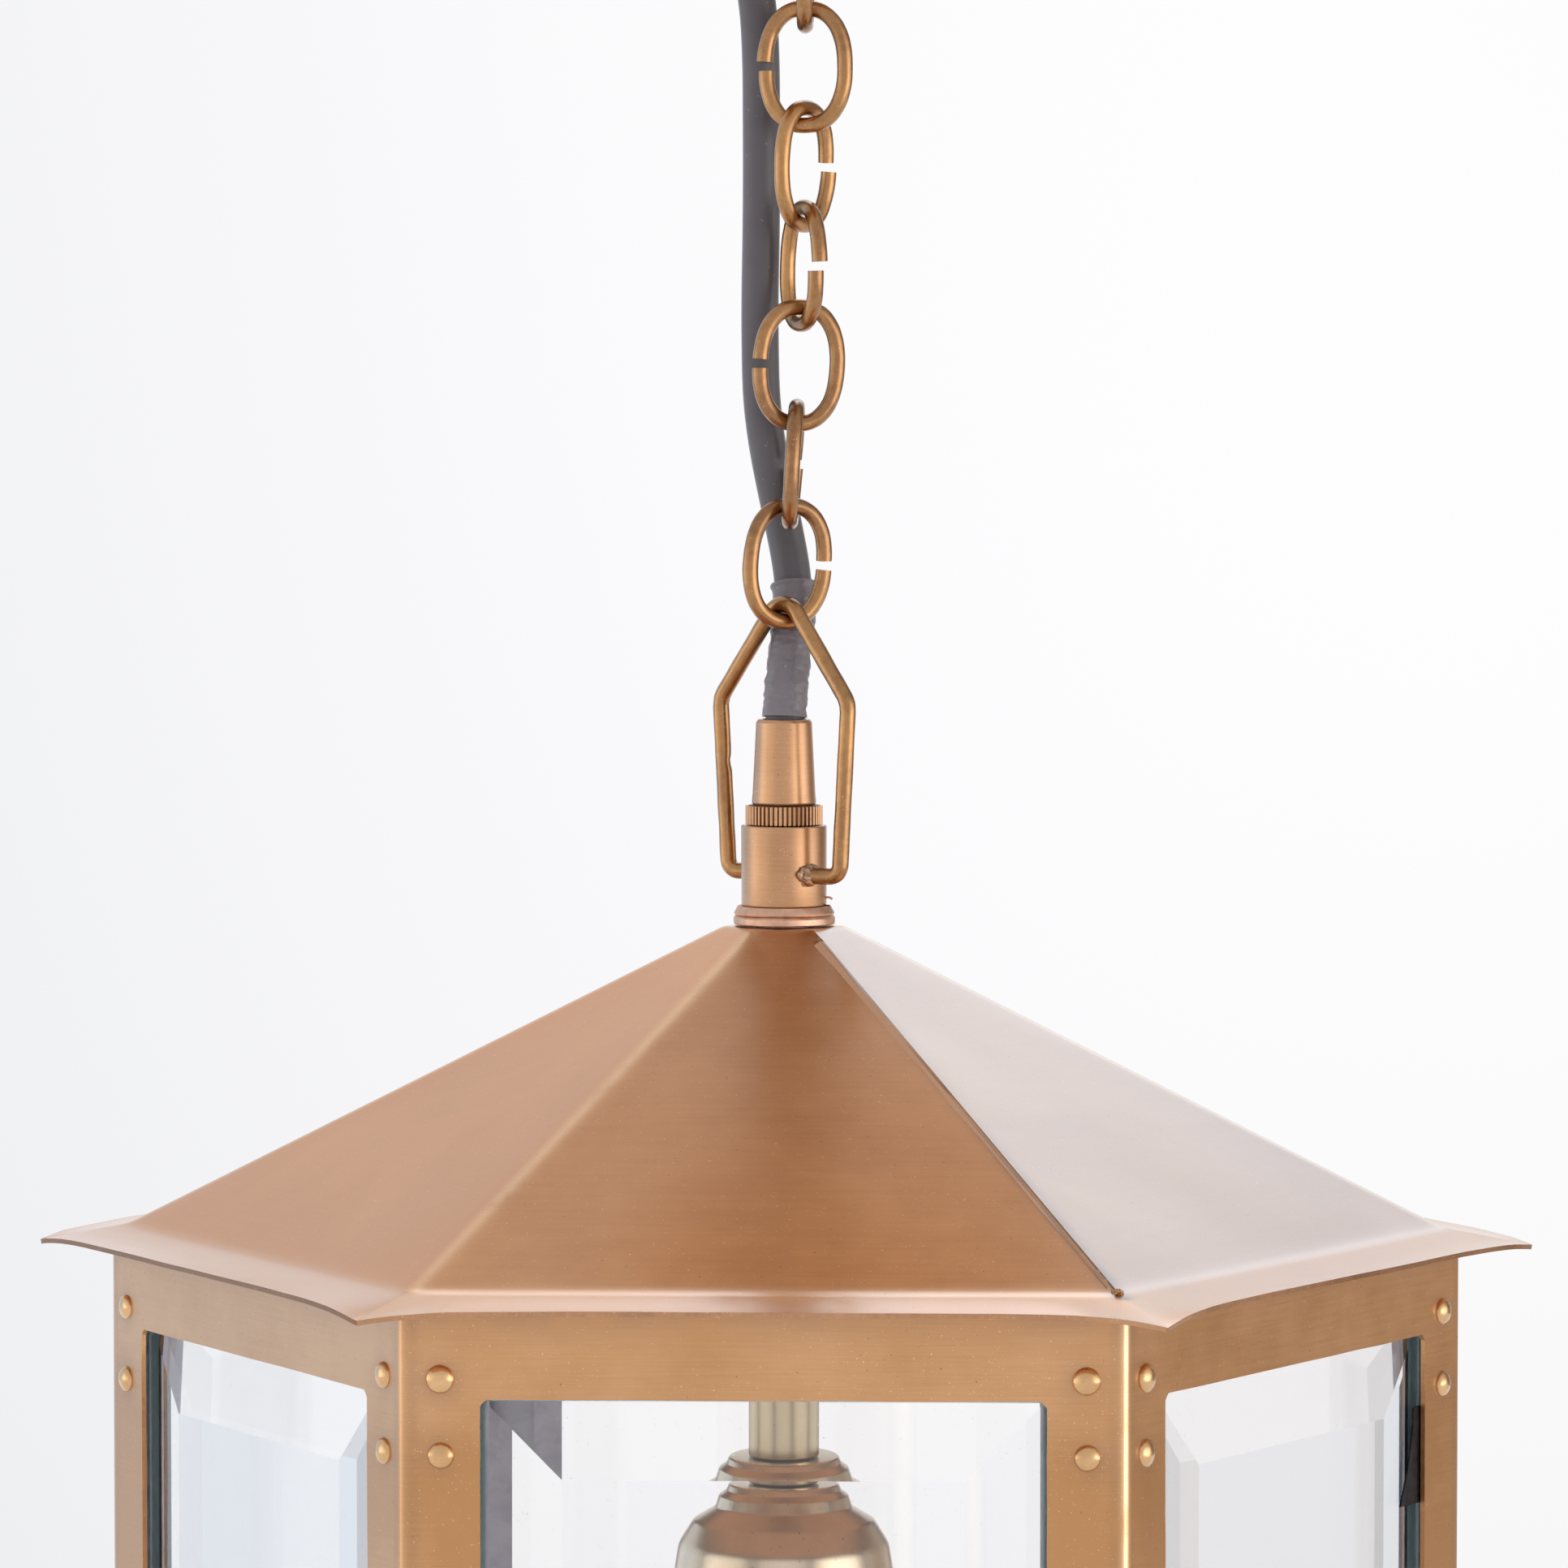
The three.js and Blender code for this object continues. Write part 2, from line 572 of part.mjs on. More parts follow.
function buildCable() {
  const route = CABLE_ROUTE.map(([x, y, z]) => new THREE.Vector3(x, y, z));
  const curve = new THREE.CatmullRomCurve3(route, false, 'centripetal');
  const cable = swept(curve, polygonPoints(CABLE_RADIUS, WIRE_SIDES), CABLE_STEPS);
  addPart(group, 'cable', cable, cableRubber);

  const low = SLEEVE_Z + BRIM_Z;
  const sleeved = curve.getSpacedPoints(CABLE_SAMPLES).filter((point) => (
    point.z >= low && point.z <= low + SLEEVE_LENGTH
  ));
  const inner = CABLE_RADIUS + GAP;
  const shape = new THREE.Shape(polygonPoints(inner + SLEEVE_WALL, SLEEVE_SIDES));
  shape.holes.push(new THREE.Path(polygonPoints(inner, SLEEVE_SIDES)));
  const sleeve = new THREE.ExtrudeGeometry(shape, {
    steps: SLEEVE_STEPS,
    extrudePath: new THREE.CatmullRomCurve3(sleeved),
  });
  sleeve.translate(CHAIN_LEAN, 0, -BRIM_Z);
  addPart(lantern, 'cable_sleeve', sleeve, cableRubber);
}

// ---------------------------------------------------------------- roof

function hexRing(radius, z) {
  return polygonPoints(radius, 6).map((point) => [point.x, point.y, z]);
}

// A closed shell from hexagonal rings that go round its section once.
function hexShell(rings) {
  const vertices = rings.flat();
  const faces = [];
  for (let r = 0; r < rings.length; r += 1) {
    const next = (r + 1) % rings.length;
    for (let k = 0; k < 6; k += 1) {
      const a = r * 6 + k;
      const b = r * 6 + ((k + 1) % 6);
      const c = next * 6 + k;
      const d = next * 6 + ((k + 1) % 6);
      faces.push(a, b, d, a, d, c);
    }
  }
  const geometry = new THREE.BufferGeometry();
  geometry.setAttribute('position', new THREE.Float32BufferAttribute(vertices.flat(), 3));
  geometry.setIndex(faces);
  return geometry;
}

function buildRoof() {
  const slope = (ROOF_TOP_Z - FOLD_Z) / (FOLD_RADIUS - ROOF_TOP_RADIUS);
  const below = SHEET * Math.hypot(1, slope / Math.cos(30 * RAD));
  const topInner = ROOF_TOP_RADIUS - (below - SHEET) / slope;
  const hole = NUT_BORE / Math.cos(30 * RAD);
  addPart(lantern, 'roof', hexShell([
    hexRing(hole, ROOF_TOP_Z - SHEET), hexRing(topInner, ROOF_TOP_Z - SHEET),
    hexRing(FOLD_RADIUS, FOLD_Z - below),
    hexRing(BRIM_RADIUS - BRIM_EDGE_LEAN, BRIM_EDGE_Z - SHEET), hexRing(BRIM_RADIUS, BRIM_EDGE_Z),
    hexRing(FOLD_RADIUS, FOLD_Z), hexRing(ROOF_TOP_RADIUS, ROOF_TOP_Z), hexRing(hole, ROOF_TOP_Z),
  ]), antiqueBrass);
}

// ---------------------------------------------------------------- body faces

function rivetHead(x, z) {
  const sunk = SHEET / 2;
  const dome = turned([
    [0, sunk], [RIVET_RADIUS, sunk], [RIVET_RADIUS * 0.8, -RIVET_HEIGHT * 0.75],
    [0, -RIVET_HEIGHT],
  ], RIVET_SIDES);
  return toSolid(dome.rotateX(-Math.PI / 2).translate(x, -APOTHEM, z));
}

function buildFaceFrame() {
  const outer = BODY_RADIUS / 2 - GAP / 2;
  const inner = outer - SHEET * Math.tan(30 * RAD);
  const plan = [
    new THREE.Vector2(-outer, -APOTHEM), new THREE.Vector2(outer, -APOTHEM),
    new THREE.Vector2(inner, -APOTHEM + SHEET), new THREE.Vector2(-inner, -APOTHEM + SHEET),
  ];
  const plate = toSolid(prism(plan, BODY_BOTTOM_Z, BODY_TOP_Z));
  const window = toSolid(box(
    2 * WINDOW_HALF, 20, WINDOW_TOP_Z - WINDOW_BOTTOM_Z,
    0, -APOTHEM, (WINDOW_TOP_Z + WINDOW_BOTTOM_Z) / 2,
  ));
  let frame = plate.subtract(window);
  for (const side of [-1, 1]) {
    for (const drop of RIVET_DROPS) {
      const x = side * (BODY_RADIUS / 2 - RIVET_INSET);
      frame = frame.add(rivetHead(x, BODY_TOP_Z - drop));
      frame = frame.add(rivetHead(x, BODY_BOTTOM_Z + drop));
    }
  }
  return toGeometry(frame);
}

// A pane, thickest in the middle, bevelled towards its edges on the outside.
function buildPane() {
  const half = WINDOW_HALF + GLASS_OVERLAP;
  const front = -APOTHEM + SHEET + GAP;
  const sink = GLASS_THICKNESS - GLASS_EDGE;
  const rectangle = (inset, y) => [
    [-half + inset, y, GLASS_BOTTOM_Z + inset], [half - inset, y, GLASS_BOTTOM_Z + inset],
    [half - inset, y, GLASS_TOP_Z - inset], [-half + inset, y, GLASS_TOP_Z - inset],
  ];
  const rings = [
    rectangle(GLASS_BEVEL, front), rectangle(0, front + sink), rectangle(0, front + GLASS_THICKNESS),
  ];
  const faces = [0, 1, 2, 0, 2, 3, 8, 10, 9, 8, 11, 10];
  for (let r = 0; r < 2; r += 1) {
    for (let k = 0; k < 4; k += 1) {
      const a = r * 4 + k;
      const b = r * 4 + ((k + 1) % 4);
      faces.push(a, a + 4, b + 4, a, b + 4, b);
    }
  }
  const geometry = new THREE.BufferGeometry();
  geometry.setAttribute('position', new THREE.Float32BufferAttribute(rings.flat(2), 3));
  geometry.setIndex(faces);
  return geometry;
}

// Folded channel behind each corner: flat against the frame, round the glass edge, then a lip.
function buildCornerPost() {
  const glassSide = POST_WIDTH - GLASS_OVERLAP;
  const depth = SHEET + GAP + GLASS_THICKNESS + 2 * GAP;
  const sheet = CHANNEL_SHEET;
  // [distance from the corner along the face, depth behind the outer face]
  const outer = [
    [0, SHEET + GAP], [glassSide - GAP, SHEET + GAP], [glassSide - GAP, depth],
    [glassSide + CHANNEL_LIP, depth],
  ];
  const inner = [
    [glassSide + CHANNEL_LIP, depth + sheet], [glassSide - GAP - sheet, depth + sheet],
    [glassSide - GAP - sheet, SHEET + GAP + sheet], [0, SHEET + GAP + sheet],
  ];
  // The post stands at the corner where +X points out; its two halves mirror in Y.
  const place = ([along, behind], side) => {
    const reach = behind / Math.tan(60 * RAD);
    const distance = along === 0 ? reach : along;
    const x = BODY_RADIUS - distance * Math.cos(60 * RAD) - behind * Math.cos(30 * RAD);
    const y = distance * Math.sin(60 * RAD) - behind * Math.sin(30 * RAD);
    return new THREE.Vector2(x, side * y);
  };
  const right = outer.slice(1).map((point) => place(point, -1)).reverse();
  const middleOut = [place(outer[0], 1)];
  const left = outer.slice(1).map((point) => place(point, 1));
  const leftBack = inner.slice(0, 3).map((point) => place(point, 1));
  const middleIn = [place(inner[3], 1)];
  const rightBack = inner.slice(0, 3).map((point) => place(point, -1)).reverse();
  const outline = [...right, ...middleOut, ...left, ...leftBack, ...middleIn, ...rightBack];
  return prism(outline, GLASS_BOTTOM_Z, BODY_TOP_Z - GAP - RING_BAR - GAP);
}

function hexBar(bottom, top) {
  const outer = BODY_RADIUS - (SHEET + GAP) / Math.cos(30 * RAD);
  const inner = outer - RING_BAR / Math.cos(30 * RAD);
  return prism(polygonPoints(outer, 6), bottom, top, polygonPoints(inner, 6));
}

function buildBody() {
  const frame = buildFaceFrame();
  const pane = buildPane();
  const post = buildCornerPost();
  for (let k = 0; k < 6; k += 1) {
    addPart(lantern, `face_frame_${k + 1}`, frame, antiqueBrass).rotation.z = k * SIXTH * RAD;
    addPart(lantern, `glass_pane_${k + 1}`, pane, clearGlass).rotation.z = k * SIXTH * RAD;
    addPart(lantern, `corner_post_${k + 1}`, post, antiqueBrass).rotation.z = (k - 1) * SIXTH * RAD;
  }
  addPart(lantern, 'top_ring', hexBar(BODY_TOP_Z - GAP - RING_BAR, BODY_TOP_Z - GAP), antiqueBrass);
  addPart(lantern, 'base_ring', hexBar(BODY_BOTTOM_Z, GLASS_BOTTOM_Z - GAP), antiqueBrass);
}

// ---------------------------------------------------------------- lampholder and lamp

function buildRoofNut() {
  const top = ROOF_TOP_Z - SHEET - INNER_WASHER_DROP;
  const washerLow = top - INNER_WASHER_HEIGHT;
  addPart(lantern, 'inner_washer', bush(INNER_WASHER_RADIUS, NUT_BORE, washerLow, top), zincSteel);
  const nutTop = washerLow - GAP;
  const nutLow = nutTop - LOCK_NUT_HEIGHT - GAP;
  addPart(lantern, 'lock_nut', prism(
    polygonPoints(LOCK_NUT_RADIUS, 6), nutLow, nutTop,
    polygonPoints(NUT_BORE + NUT_SLACK, TURNED_SIDES),
  ), zincSteel);
  const tube = bush(TUBE_RADIUS, TUBE_BORE, TUBE_BOTTOM_Z, nutLow - GAP, TUBE_SIDES);
  addPart(lantern, 'lamp_tube', tube, satinBrass);
}

// The bell over the lampholder: a short neck, a rounded shoulder, then a long skirt.
function buildCup(top, low) {
  const reach = CUP_RADIUS;
  const lining = CUP_RADIUS - CUP_WALL;
  const outside = [
    [CUP_NECK, top], [CUP_NECK + 0.9, top - 1.5], [CUP_NECK + 1.1, top - 3],
    [reach - 5.5, top - 5], [reach - 3, top - 7.5], [reach - 1.8, top - 12],
    [reach - 0.6, top - 22], [reach, top - 34], [reach, low],
  ];
  const inside = [
    [lining, low], [lining, top - 34], [lining - 0.7, top - 22], [lining - 2, top - 12],
    [lining - 3.4, top - 8], [CUP_NECK - 0.2, top - 5.6], [CUP_NECK - CUP_WALL, top - CUP_WALL],
  ];
  addPart(lantern, 'lamp_cup', turned([
    [TUBE_BORE, top], ...outside, ...inside, [TUBE_BORE, top - CUP_WALL],
  ]), satinBrass);
}

function buildLampholder() {
  const top = TUBE_BOTTOM_Z - GAP;
  const cupLow = top - CUP_HEIGHT;
  buildCup(top, cupLow);

  const holderTop = top - HOLDER_DROP;
  const holderLow = cupLow + HOLDER_RISE;
  const floor = holderTop - HOLDER_FLOOR;
  const well = SHELL_RADIUS + GAP;
  addPart(lantern, 'lampholder', turned([
    [0, floor], [well, floor], [well, holderLow], [HOLDER_RADIUS, holderLow],
    [HOLDER_RADIUS, holderTop], [0, holderTop],
  ]), whiteCeramic);
  const shell = bush(SHELL_RADIUS, SHELL_RADIUS - SHELL_WALL, holderLow + SHELL_RISE, floor - GAP);
  addPart(lantern, 'screw_shell', shell, satinBrass);
  const contactLow = floor - GAP - CONTACT_HEIGHT;
  const contact = rod(CONTACT_RADIUS, contactLow, floor - GAP, HOLE_SIDES);
  addPart(lantern, 'centre_contact', contact, satinBrass);
  buildBulb(contactLow - GAP);
}

function buildBulb(capTop) {
  const capLow = capTop - CAP_HEIGHT;
  addPart(lantern, 'bulb_cap', turned([
    [0, capTop], [0, capLow + CAP_LIP], [CAP_RADIUS - CAP_LIP, capLow + CAP_LIP],
    [CAP_RADIUS - CAP_LIP, capLow], [CAP_RADIUS, capLow], [CAP_RADIUS, capTop - CAP_TIP_RADIUS],
    [CAP_TIP_RADIUS, capTop - CAP_LIP], [CAP_TIP_RADIUS - CAP_LIP, capTop],
  ]), zincSteel);
  const neckZ = capLow - GAP;
  const glass = [[0, neckZ], [CAP_RADIUS + BULB_NECK_ROOM, neckZ]];
  const centre = capLow - BULB_DROP;
  for (let i = 0; i <= BULB_STEPS; i += 1) {
    const angle = (BULB_NECK_ANGLE - ((BULB_NECK_ANGLE + 90) * i) / BULB_STEPS) * RAD;
    const radius = i === BULB_STEPS ? 0 : BULB_RADIUS * Math.cos(angle);
    glass.push([radius, centre + BULB_RADIUS * Math.sin(angle)]);
  }
  addPart(lantern, 'bulb_glass', turned(glass, BULB_SIDES), opalGlass);
}

// ---------------------------------------------------------------- the assembly

buildCeilingFitting();
buildChain();
buildBail();
buildTopStack();
buildCable();
buildRoof();
buildBody();
buildRoofNut();
buildLampholder();

export default group;
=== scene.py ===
"""Looks of a hexagonal hanging lantern: brass sheet, bevelled glass, chain, bail and cable."""
import json
import math

import bmesh
import bpy
from mathutils import Matrix, Vector, noise

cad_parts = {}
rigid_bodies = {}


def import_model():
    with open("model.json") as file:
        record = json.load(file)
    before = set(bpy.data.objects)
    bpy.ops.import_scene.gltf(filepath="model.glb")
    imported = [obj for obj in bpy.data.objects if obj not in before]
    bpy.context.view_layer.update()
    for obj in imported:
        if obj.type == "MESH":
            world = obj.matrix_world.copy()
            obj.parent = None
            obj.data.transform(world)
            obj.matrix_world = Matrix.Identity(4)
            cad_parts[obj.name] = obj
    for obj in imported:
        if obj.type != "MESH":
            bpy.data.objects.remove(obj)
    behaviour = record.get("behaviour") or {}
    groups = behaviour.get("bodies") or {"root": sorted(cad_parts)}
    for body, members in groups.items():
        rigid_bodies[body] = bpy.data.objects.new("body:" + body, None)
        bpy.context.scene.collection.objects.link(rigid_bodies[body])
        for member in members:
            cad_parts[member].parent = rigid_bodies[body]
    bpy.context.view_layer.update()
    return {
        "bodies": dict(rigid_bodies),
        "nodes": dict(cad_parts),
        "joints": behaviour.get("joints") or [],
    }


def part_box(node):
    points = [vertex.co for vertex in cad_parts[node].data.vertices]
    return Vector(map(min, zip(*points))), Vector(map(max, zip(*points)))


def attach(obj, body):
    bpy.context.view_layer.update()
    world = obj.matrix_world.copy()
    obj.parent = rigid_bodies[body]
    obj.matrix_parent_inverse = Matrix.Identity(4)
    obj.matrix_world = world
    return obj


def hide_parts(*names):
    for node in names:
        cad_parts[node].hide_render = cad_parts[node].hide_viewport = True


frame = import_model()

# ---------------- sizes, in millimetres

MM = 0.001
GAP = 0.3
SHEET = 0.9
SIDES = 6
COS_30 = math.cos(math.radians(30))

# Heights named here count from the plane of the brim tips, and distances from the lantern's own axis.
ROOF_TOP_Z = 60.4
ROOF_TOP_RADIUS = 11.6
FOLD_INSET = 2.4
FOLD_Z = 3.1
BRIM_EDGE_Z = 1.7
# Droop of the brim's corners, front left first, anticlockwise from above
TIP_DROOPS = [1.9, 2.5, 1.6, 1.8, 1.8, 1.6]
BODY_TOP_Z = 0.9
POST_WIDTH = 14
RAIL_HEIGHT = 16.4
RIVET_INSET = 7
RIVET_DROPS = [12.8, 26.4]
RIVET_RADIUS = 2.5
RIVET_HEIGHT = 1.35
GLASS_THICKNESS = 4
GLASS_EDGE = 2.4
GLASS_BEVEL = 17.6
GLASS_OVERLAP = 3.2
LINK_WIRE = 3
LINK_LENGTH = 25
LINK_WIDTH = 18
LINK_YAWS = [24, 90, 16, -66, 57, -3, 90]  # degrees, from the lowest link up, as are the next two rows
LINK_GAP_SIDES = [1, 1, -1, 1, 1, -1, 1]
LINK_OPENING = 1.7  # between a link's cut ends
LINK_PLUMPNESS = 2.3  # 2 for an ellipse, more for a squarer oval
LINK_SKEWS = [0.25, 0.15, 0.2, 0.35, 0.4, 0.55, 0.2]  # how far the cut ends stand apart sideways
CABLE_DIAMETER = 7.1

SHARP = 35  # degrees from which a bend shows as an edge
FOLD_SHARP = 28  # the same, on the folded sheets
ROUND_SHARP = 60  # the same, on lumps and soft pieces
RIVET_CUT = -0.25  # where the round of a rivet's head ends, as a share of its radius
RIVET_SPREAD = 0.06  # how much the rivets differ in size, as a share

# Lampholder and bulb
THREAD_WALL = 0.5
LAMP_THREAD_PITCH = 3.6
GLOBE_ARC = 145  # degrees of the bulb's round, from its lowest point to its neck
GLOBE_STEPS = 29
NECK_STEPS = 12

# Stack on the roof, glass and its tab
STACK_BORE = 5.8
RIDGE = 0.3  # radius of one ridge of the knurled nut
RIDGES = 50
SEATED = 0.26  # how far each piece of the stack reaches up towards the next one
TAB_LOW_Z = -47.4
TAB_HIGH_Z = -29.1
TAB_SHEET = 0.35
TAB_INSET = 12.6  # from the body's corner to the tab's straight side
GROUND_BORDER = 4  # ground strip round the back of each pane

# Ceiling fitting
CANOPY_BORE = 5.3
CANOPY_WALL = 1
CANOPY_SHOULDER = 21  # from the rim in to the flat middle
NUT_GROOVES = 12
STEM_BORE = 3
STEM_PITCH = 1
STEM_ROW = 0.2
LOOP_BOSS = 7
LOOP_WIRE = 2  # radius of the loop's wire
LOOP_RADIUS = 7.5
GROMMET_PLACE = (-17.5, 14)  # its x and y from the stem
GROMMET_HOLE = 4.9
GROMMET_NECK = 4.7

# Bail: its points are (distance from the axis, height)
BAIL_WIRE = 3.1
BAIL_YAW = math.radians(-40)
BAIL_CORNER_Z = 123.85
BAIL_TIP_RADIUS = (BAIL_WIRE + LINK_WIRE) / 2 + 1.1
BAIL_SHOULDER = (16.2, 103)
BAIL_FOOT = (14.1, 70.2)
BAIL_NOTCH = 0.79  # where along the wire a file has slipped
BAIL_SPLAY = math.radians(-11)  # how far the feet are bent round the collar

# Body sheet: columns are placed by their distance from a corner, rows by their drop from the top
BODY_BENDS = [0.34, 0.42, 0.36, 0.34, 0.36, 0.34]
CORNER_WEAR_AND_HIGHLIGHT = [0.15, 1.0, 0.6, 0.5, 0.6, 0.5]  # partly wear, partly a painted highlight, set for each corner; front left first, anticlockwise from above
POST_OFFSETS = [
    0, 0.25, 0.55, 0.9, 1.3, 1.8, 2.5, 3.4, 4.4, 5.4, 6.4, 7.4, 8.4, 9.4, 10.4, 11.4, 12.6, 13.4, POST_WIDTH,
]
WINDOW_CORNER = 0.55  # how far the filed corners of a window are drawn in
WINDOW_OFFSETS = [15.2, 18, 24, 32, 41, 50]
RAIL_DROPS = [0, 0.5, 1.4, 2.8, 4.4, 6, 7.6, 9.2, 10.4, 11.4, 12.4, 13.4, 14.4, 15.4, RAIL_HEIGHT]
SIDE_DROPS = [
    17.6, 19, 21, 22.6, 23.8, 24.8, 25.8, 26.8, 27.8, 28.8, 30, 31.6, 34, 38, 44, 52, 62, 74, 88, 104,
]

# Roof sheet: columns are placed by their distance from a hip, rows by their distance from the axis
ROOF_BENDS = [0.85, 0.03, 0.45, 0.5, 0.45, 0.5]  # softness of each hip; the second is the open seam
ROOF_PAINTED_FADE = [-0.25, 0.1, 0.1, 0.1, 0.1, 0.6]  # painted light and shade: how much paler each side is at its top than at its foot
SEAM_HIP = 1
SEAM_FROM = 13  # distance from the axis where the seam opens
SEAM_SLIT = 0.42
BEAD_RADIUS = 0.34
BEAD_SINK = 0.62  # the bead's line under the roof's surface
RIM_RIPPLE = 0.09
HIP_OFFSETS = [0.3, 0.7, 1.2, 1.8, 2.6, 3.6, 5, 7, 10, 14, 19, 26, 34, 43, 53]
ROOF_ROWS = [
    7.4, 9, 9.6, 10, 10.4, 11, 12, 14, 17, 20, 24, 28, *range(33, 89, 5), 92, 96, 99.5, 102.5, 105, 106.6,
    107.6, 108.2, 108.7, 109.2, 109.8, 110.6, *range(112, 121, 2), 121.6, 122.6,
]

# The cable's route in metres from the ceiling, from the cord grip up to the terminal block.
CABLE_ROUTE = [
    (-0.004, 0, -0.21575), (-0.004, 0, -0.20795), (-0.00395, 0.0001, -0.20045),
    (-0.0036, 0.0015, -0.19395), (-0.0029, 0.0049, -0.18695), (-0.0024, 0.0082, -0.18045),
    (-0.0028, 0.0105, -0.17345), (-0.0042, 0.0117, -0.16545), (-0.006, 0.012, -0.15695),
    (-0.0076, 0.012, -0.14845), (-0.0086, 0.0117, -0.13995), (-0.0089, 0.0113, -0.12995),
    (-0.0089, 0.0109, -0.11995), (-0.0087, 0.0104, -0.10895), (-0.0086, 0.0099, -0.09795),
    (-0.0086, 0.0094, -0.08695), (-0.0087, 0.0091, -0.07595), (-0.0093, 0.0093, -0.06595),
    (-0.0112, 0.0103, -0.05545), (-0.0142, 0.0119, -0.04495), (-0.0167, 0.0133, -0.03545),
    (-0.0175, 0.014, -0.02695), (-0.0175, 0.014, -0.01995), (-0.0175, 0.014, -0.01295),
]
ROUTE_STEPS = 6
SLEEVE_STEPS = 8
SLEEVE_RADIUS = 4.08
SLEEVE_PLAY = 0.06  # between the sleeve and the cable
POINT_RADIUS = 0.001  # of the curve's points, so that their box stays close to the tube

# Camera
EYE_DISTANCE = 1522  # from the lantern's axis
EYE_RISE = 172  # above the brim plane
EYE_TURN = math.radians(1.9)
EYE_DIP = math.radians(3.19)
LENS = 185
SENSOR = 36

# Studio: the floor's sizes are in metres
FLOOR_Z = -0.95
FLOOR_RADIUS = 3.4
# Soft patches of light round the lantern: azimuth from +Y towards +X, elevation and half-width in degrees,
# and the red, green and blue that each adds to the even light, or takes away from it.
LIGHTS = [
    (5, -1, 13, (0.27, 0.27, 0.27)),
    (-3, 17, 9, (0.2, 0.2, 0.19)),
    (4, 46, 8, (2.0, 2.5, 2.9)),
    (17, 28, 8, (0.95, 1.4, 1.8)),
    (-24, 27, 12, (0.12, -0.05, -0.2)),
    (40, 38, 24, (-0.4, -0.42, -0.45)),
    (60, -3, 28, (-0.43, -0.5, -0.57)),
    (-60, -3, 28, (-0.12, 0.04, 0.2)),
    (0, 68, 22, (-0.08, -0.14, -0.2)),
    (180, -4, 24, (0.1, 0.08, 0.1)),
    (-92, -2, 12, (1.3, 1.25, 1.2)),
    (92, -2, 12, (1.6, 1.6, 1.65)),
    (-122, -4, 16, (0.6, 0.55, 0.45)),
    (122, -4, 16, (2.6, 2.5, 2.3)),
]
AMBIENT = (0.775, 0.765, 0.775)

# Sizes that come from the frame
roof_low, roof_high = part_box("roof")
face_low, face_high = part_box("face_frame_1")
AXIS_X = (roof_low.x + roof_high.x) / 2 / MM
BRIM_Z = roof_high.z / MM - ROOF_TOP_Z
BRIM_RADIUS = (roof_high.x - roof_low.x) / 2 / MM
BODY_RADIUS = (face_high.x - face_low.x) / MM + GAP
BODY_HEIGHT = (face_high.z - face_low.z) / MM
FOLD_RADIUS = BODY_RADIUS - FOLD_INSET
APOTHEM = BODY_RADIUS * COS_30
BODY_BOTTOM_Z = BODY_TOP_Z - BODY_HEIGHT


def frame_size(node):
    """(radius, lowest z, highest z) of a round CAD node, in millimetres from the brim plane."""
    low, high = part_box(node)
    return (high.x - low.x) / 2 / MM, low.z / MM - BRIM_Z, high.z / MM - BRIM_Z


# ---------------- node trees


class Value:
    """A socket of a node tree. Arithmetic on it adds Math nodes."""

    def __init__(self, tree, socket):
        self.tree = tree
        self.socket = socket

    def __add__(self, other):
        return self.tree.math("ADD", self, other)

    def __radd__(self, other):
        return self + other

    def __sub__(self, other):
        return self.tree.math("SUBTRACT", self, other)

    def __rsub__(self, other):
        return self.tree.math("SUBTRACT", other, self)

    def __mul__(self, other):
        return self.tree.math("MULTIPLY", self, other)

    def __rmul__(self, other):
        return self * other


class Tree:
    """Adds nodes to one node tree."""

    def __init__(self, node_tree):
        self.node_tree = node_tree
        node_tree.nodes.clear()

    def add(self, kind, values=None, out=0, **settings):
        """One node of that type, with its settings and a value or a link for each socket named."""
        node = self.node_tree.nodes.new(kind)
        for key, setting in settings.items():
            setattr(node, key, setting)
        for key, value in (values or {}).items():
            if isinstance(value, Value):
                self.node_tree.links.new(value.socket, node.inputs[key])
            else:
                node.inputs[key].default_value = value
        return Value(self, node.outputs[out]) if node.outputs else node

    def math(self, operation, *values):
        return self.add("ShaderNodeMath", dict(enumerate(values)), operation=operation)

    def between(self, value, low, high):
        """0 at low, 1 at high, clamped."""
        return self.add("ShaderNodeMapRange", {"Value": value, "From Min": low, "From Max": high})

    def noise(self, place, scale, detail=3, roughness=0.55, distortion=0.0):
        return self.add("ShaderNodeTexNoise", {
            "Vector": place, "Scale": scale, "Detail": detail,
            "Roughness": roughness, "Distortion": distortion,
        })

    def stretched(self, place, scale, turn=(0, 0, 0)):
        return self.add("ShaderNodeMapping", {"Vector": place, "Rotation": turn, "Scale": scale})

    def mixed(self, factor, first, second):
        return self.add("ShaderNodeMix", {0: factor, 6: first, 7: second}, out=2, data_type="RGBA")

    def attribute(self, name):
        return self.add("ShaderNodeAttribute", out="Fac", attribute_name=name)


def rgb(red, green, blue):
    return (red, green, blue, 1.0)


def new_material(name):
    """A material with its empty tree and the object's own coordinates."""
    material = bpy.data.materials.new(name)
    material.use_nodes = True
    tree = Tree(material.node_tree)
    return material, tree, tree.add("ShaderNodeTexCoord", out="Object")


def surface(tree, colour, roughness, bumps, settings):
    """The Principled shader with a chain of (height, strength, distance) bumps, joined to the output."""
    normal = None
    for height, strength, distance in bumps:
        values = {"Height": height, "Strength": strength, "Distance": distance}
        if normal is not None:
            values["Normal"] = normal
        normal = tree.add("ShaderNodeBump", values)
    values = {"Base Color": colour, "Roughness": roughness, **settings}
    if normal is not None:
        values["Normal"] = normal
    shader = tree.add("ShaderNodeBsdfPrincipled", values)
    tree.add("ShaderNodeOutputMaterial", {"Surface": shader})


# ---------------- finishes


